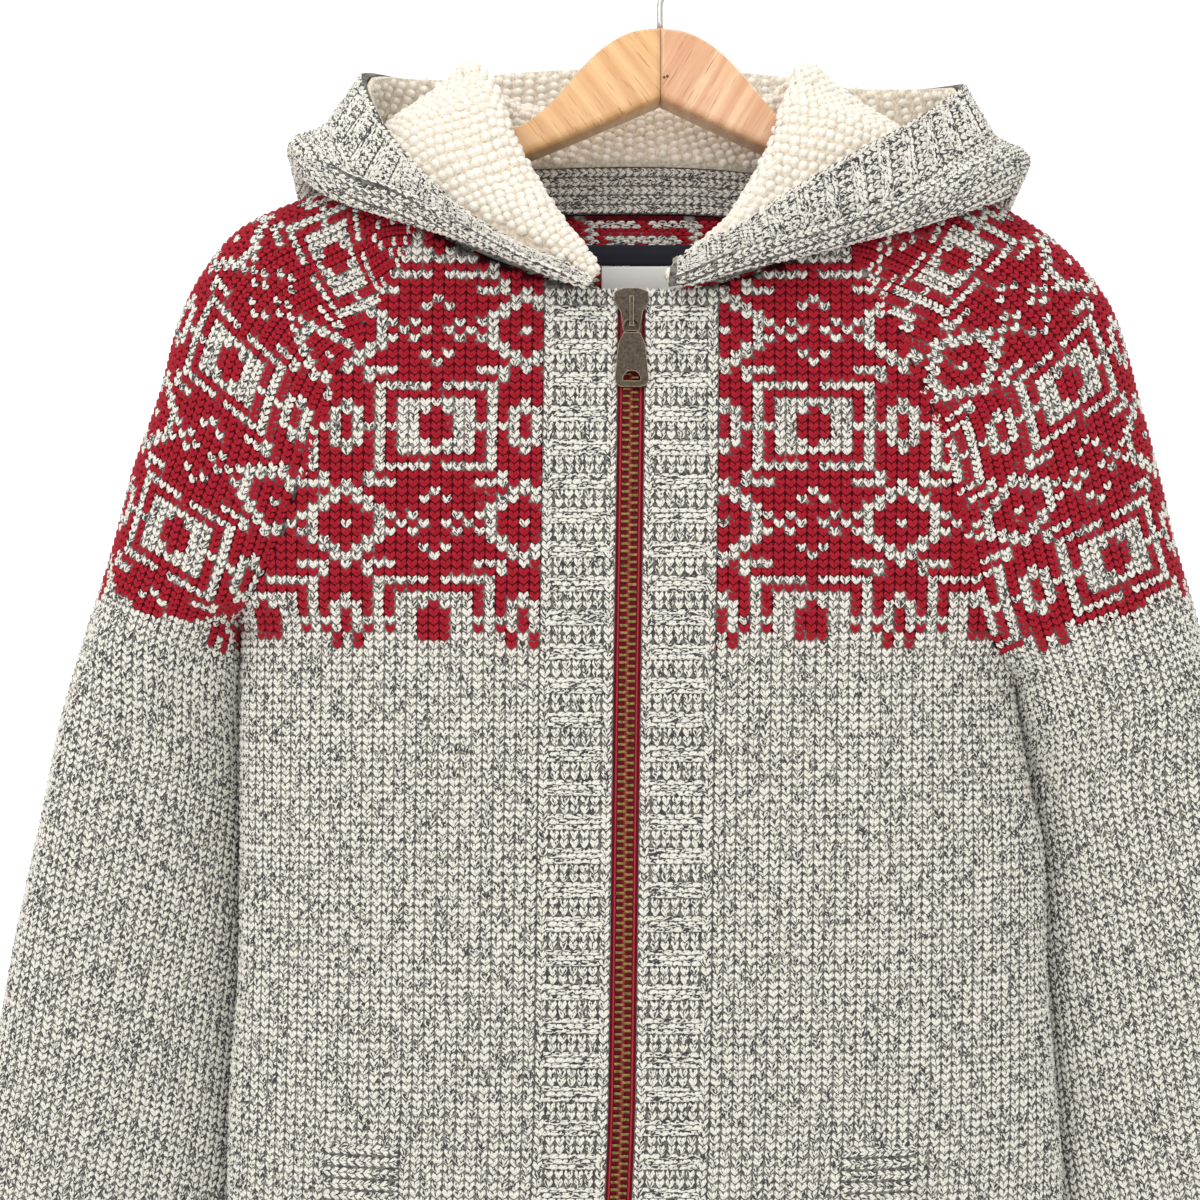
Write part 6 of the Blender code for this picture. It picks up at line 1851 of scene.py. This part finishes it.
def arm_grid(side):
    """An arm's sections: a crowned top, straight sides and rounded lower edges."""
    rows = arm_rows(side)
    x, top, bottom, half = finer(rows, 6, 0, by=rows[:, 0]).T
    rise = np.minimum(np.interp(x, *HANGER_CROWN), .6 * (top - bottom))
    corner = np.minimum(.0045, (top - bottom) * .25)
    over = np.linspace(0, math.pi, 15)[:, None]
    down = np.linspace(0, math.pi / 2, 5)[:, None]
    low_y, low_z = half - corner * (1 - np.cos(down)), bottom + corner * (1 - np.sin(down))
    ring_y = np.concatenate([-np.cos(over) * half, low_y, -low_y[::-1]])
    ring_z = np.concatenate([top - rise * (1 - np.sin(over) ** .8), low_z, low_z[::-1]])
    grid = np.stack([np.broadcast_to(side * x, ring_y.shape), ring_y,
                     ring_z - side * x * math.tan(HANGER_TILT)], -1)
    grid = np.swapaxes(grid, 0, 1)
    return np.concatenate([grid, grid[:, :1]], axis=1)


def hook_line():
    """The middle of the hook's wire: the stem, a quadratic curve and the round bend."""
    top, centre_z = HANGER_ARM[0][1], WIRE - HOOK_RADIUS
    stem_top = top + HOOK_STEM
    angle = np.radians(np.linspace(*HOOK_TURN, 90))
    bow = np.stack([HOOK_RADIUS * np.cos(angle), centre_z + HOOK_RADIUS * np.sin(angle)], -1)
    first = bow[0]
    t = np.linspace(0, 1, 14)[1:-1]
    turn = 2 * t * (1 - t)
    bend = np.stack([turn * HOOK_PULL[0] + first[0] * t**2,
                     stem_top * (1 - t) ** 2 + turn * (first[1] - HOOK_PULL[1]) + first[1] * t**2], -1)
    stem = np.stack([np.zeros(4), np.linspace(top + SEAM, stem_top, 4)], -1)
    line = np.concatenate([stem, bend, bow])
    return np.stack([line[:, 0], np.zeros(len(line)), line[:, 1]], -1)


class HOODIE_OT_hanger(bpy.types.Operator):
    """Shapes the wooden arms, their pin marks and the wire hook"""
    bl_idname = "hoodie.hanger"
    bl_label = "Hanger"

    def execute(self, context):
        for name, side in SIDES:
            wood = {"right": "honey_wood", "left": "pink_wood"}[name]
            made = closed_tube(f"hanger_arm_{name}_wood", arm_grid(side), wood)
            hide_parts(f"hanger_arm_{name}")
        level, upright, depth = np.eye(3)[:, None][[0, 2, 1]]
        for k, (x, z) in enumerate(PINS):
            centre = np.array([[x, y, z] for y, _ in PIN_RINGS])
            radius = np.array([r for _, r in PIN_RINGS])[:, None, None]
            grid = carried(centre, level, upright, circle(10) * radius)
            closed_tube(f"hanger_pin_{k + 1}", grid, "pin_mark")
        path = hook_line()
        size = np.full(len(path), WIRE)
        size[-len(HOOK_TIP):] = WIRE * np.array(HOOK_TIP)
        side_way = np.cross(unit(np.gradient(path, axis=0)), depth)
        grid = carried(path, side_way, depth, circle(14) * size[:, None, None])
        made = closed_tube("hanger_hook_wire", grid, "hook_steel")
        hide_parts("hanger_hook")
        return {"FINISHED"}


# name, place, what it points at, width, watts
LAMPS = (("key", (-1.1, -1.5, .9), (0, 0, -.35), .9, 11.5),
         ("neck", (-.03, -1.2, .05), (-.03, .05, -.13), .5, 1.8),
         ("top", (.2, -.2, 1.6), (0, 0, -.2), 1.0, 8),
         ("rear", (.8, 1.5, .5), (0, 0, -.4), 1.0, 6))
CAMERA_PLACE = (-.03135, -1.045, -.3584)
FLOOR_Z = -.90


class HOODIE_OT_stage(bpy.types.Operator):
    """Sets the white floor and backdrop, the soft lights and the camera"""
    bl_idname = "hoodie.stage"
    bl_label = "Stage"

    def execute(self, context):
        curve = np.linspace(0, math.pi / 2, 12)
        y = np.concatenate([[-4.0], 1.6 + .8 * np.sin(curve), [2.4]])
        z = np.concatenate([[FLOOR_Z], FLOOR_Z + .8 * (1 - np.cos(curve)), [4.0]])
        grid = np.stack(np.broadcast_arrays(np.linspace(-4, 4, 3)[:, None], y, z), -1)
        mesh = mesh_from("studio_sweep", grid.reshape(-1, 3), squares(numbered(*grid.shape[:2])))
        finish("studio_white", (.93, .93, .93, 1), .9, Emission_Color=(1, 1, 1, 1), Emission_Strength=.15)
        mesh.materials.append(bpy.data.materials["studio_white"])
        sweep = bpy.data.objects.new("studio_sweep", mesh)
        context.scene.collection.objects.link(sweep)

        world = bpy.data.worlds.new("studio")
        world.use_nodes = True
        background = world.node_tree.nodes["Background"].inputs
        background["Color"].default_value = (1, 1, 1, 1)
        background["Strength"].default_value = 1.0
        context.scene.world = world
        for name, at, to, size, power in LAMPS:
            lamp = bpy.data.lights.new(name, "AREA")
            lamp.size = size
            lamp.energy = power
            made = bpy.data.objects.new(name, lamp)
            made.location = at
            made.rotation_euler = (Vector(to) - Vector(at)).to_track_quat("-Z", "Y").to_euler()
            context.scene.collection.objects.link(made)
        lens = bpy.data.cameras.new("photo")
        lens.lens, lens.sensor_width = 60, 36
        camera = bpy.data.objects.new("photo", lens)
        camera.location = CAMERA_PLACE
        camera.rotation_euler = (math.pi / 2, 0, 0)
        context.scene.collection.objects.link(camera)
        context.scene.camera = camera
        context.scene.view_settings.view_transform = "Standard"
        return {"FINISHED"}


STEPS = (HOODIE_OT_finishes, HOODIE_OT_stage, HOODIE_OT_fronts, HOODIE_OT_back, HOODIE_OT_sleeves,
         HOODIE_OT_ribs, HOODIE_OT_zip_bands, HOODIE_OT_hood, HOODIE_OT_lining, HOODIE_OT_zip,
         HOODIE_OT_neck, HOODIE_OT_pockets, HOODIE_OT_hanger)


class HOODIE_PT_panel(bpy.types.Panel):
    """Lists the steps and the values that they use"""
    bl_idname = "HOODIE_PT_panel"
    bl_label = "Knitted zip hoodie"
    bl_space_type = "VIEW_3D"
    bl_region_type = "UI"
    bl_category = "Hoodie"

    def draw(self, context):
        for group in (context.scene.hoodie_sizes, context.scene.hoodie_tones):
            for name in group.bl_rna.properties.keys():
                if name not in ("rna_type", "name"):
                    self.layout.prop(group, name)
        for step in STEPS:
            self.layout.operator(step.bl_idname)


CLASSES = (HoodieSizes, HoodieTones) + STEPS + (HOODIE_PT_panel,)


def register():
    for each in CLASSES:
        bpy.utils.register_class(each)
    bpy.types.Scene.hoodie_sizes = PointerProperty(type=HoodieSizes)
    bpy.types.Scene.hoodie_tones = PointerProperty(type=HoodieTones)


def unregister():
    del bpy.types.Scene.hoodie_tones
    del bpy.types.Scene.hoodie_sizes
    for each in reversed(CLASSES):
        bpy.utils.unregister_class(each)


def main():
    """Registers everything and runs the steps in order."""
    register()
    for step in STEPS:
        group, name = step.bl_idname.split(".")
        getattr(getattr(bpy.ops, group), name)()


if __name__ == "__main__":
    main()
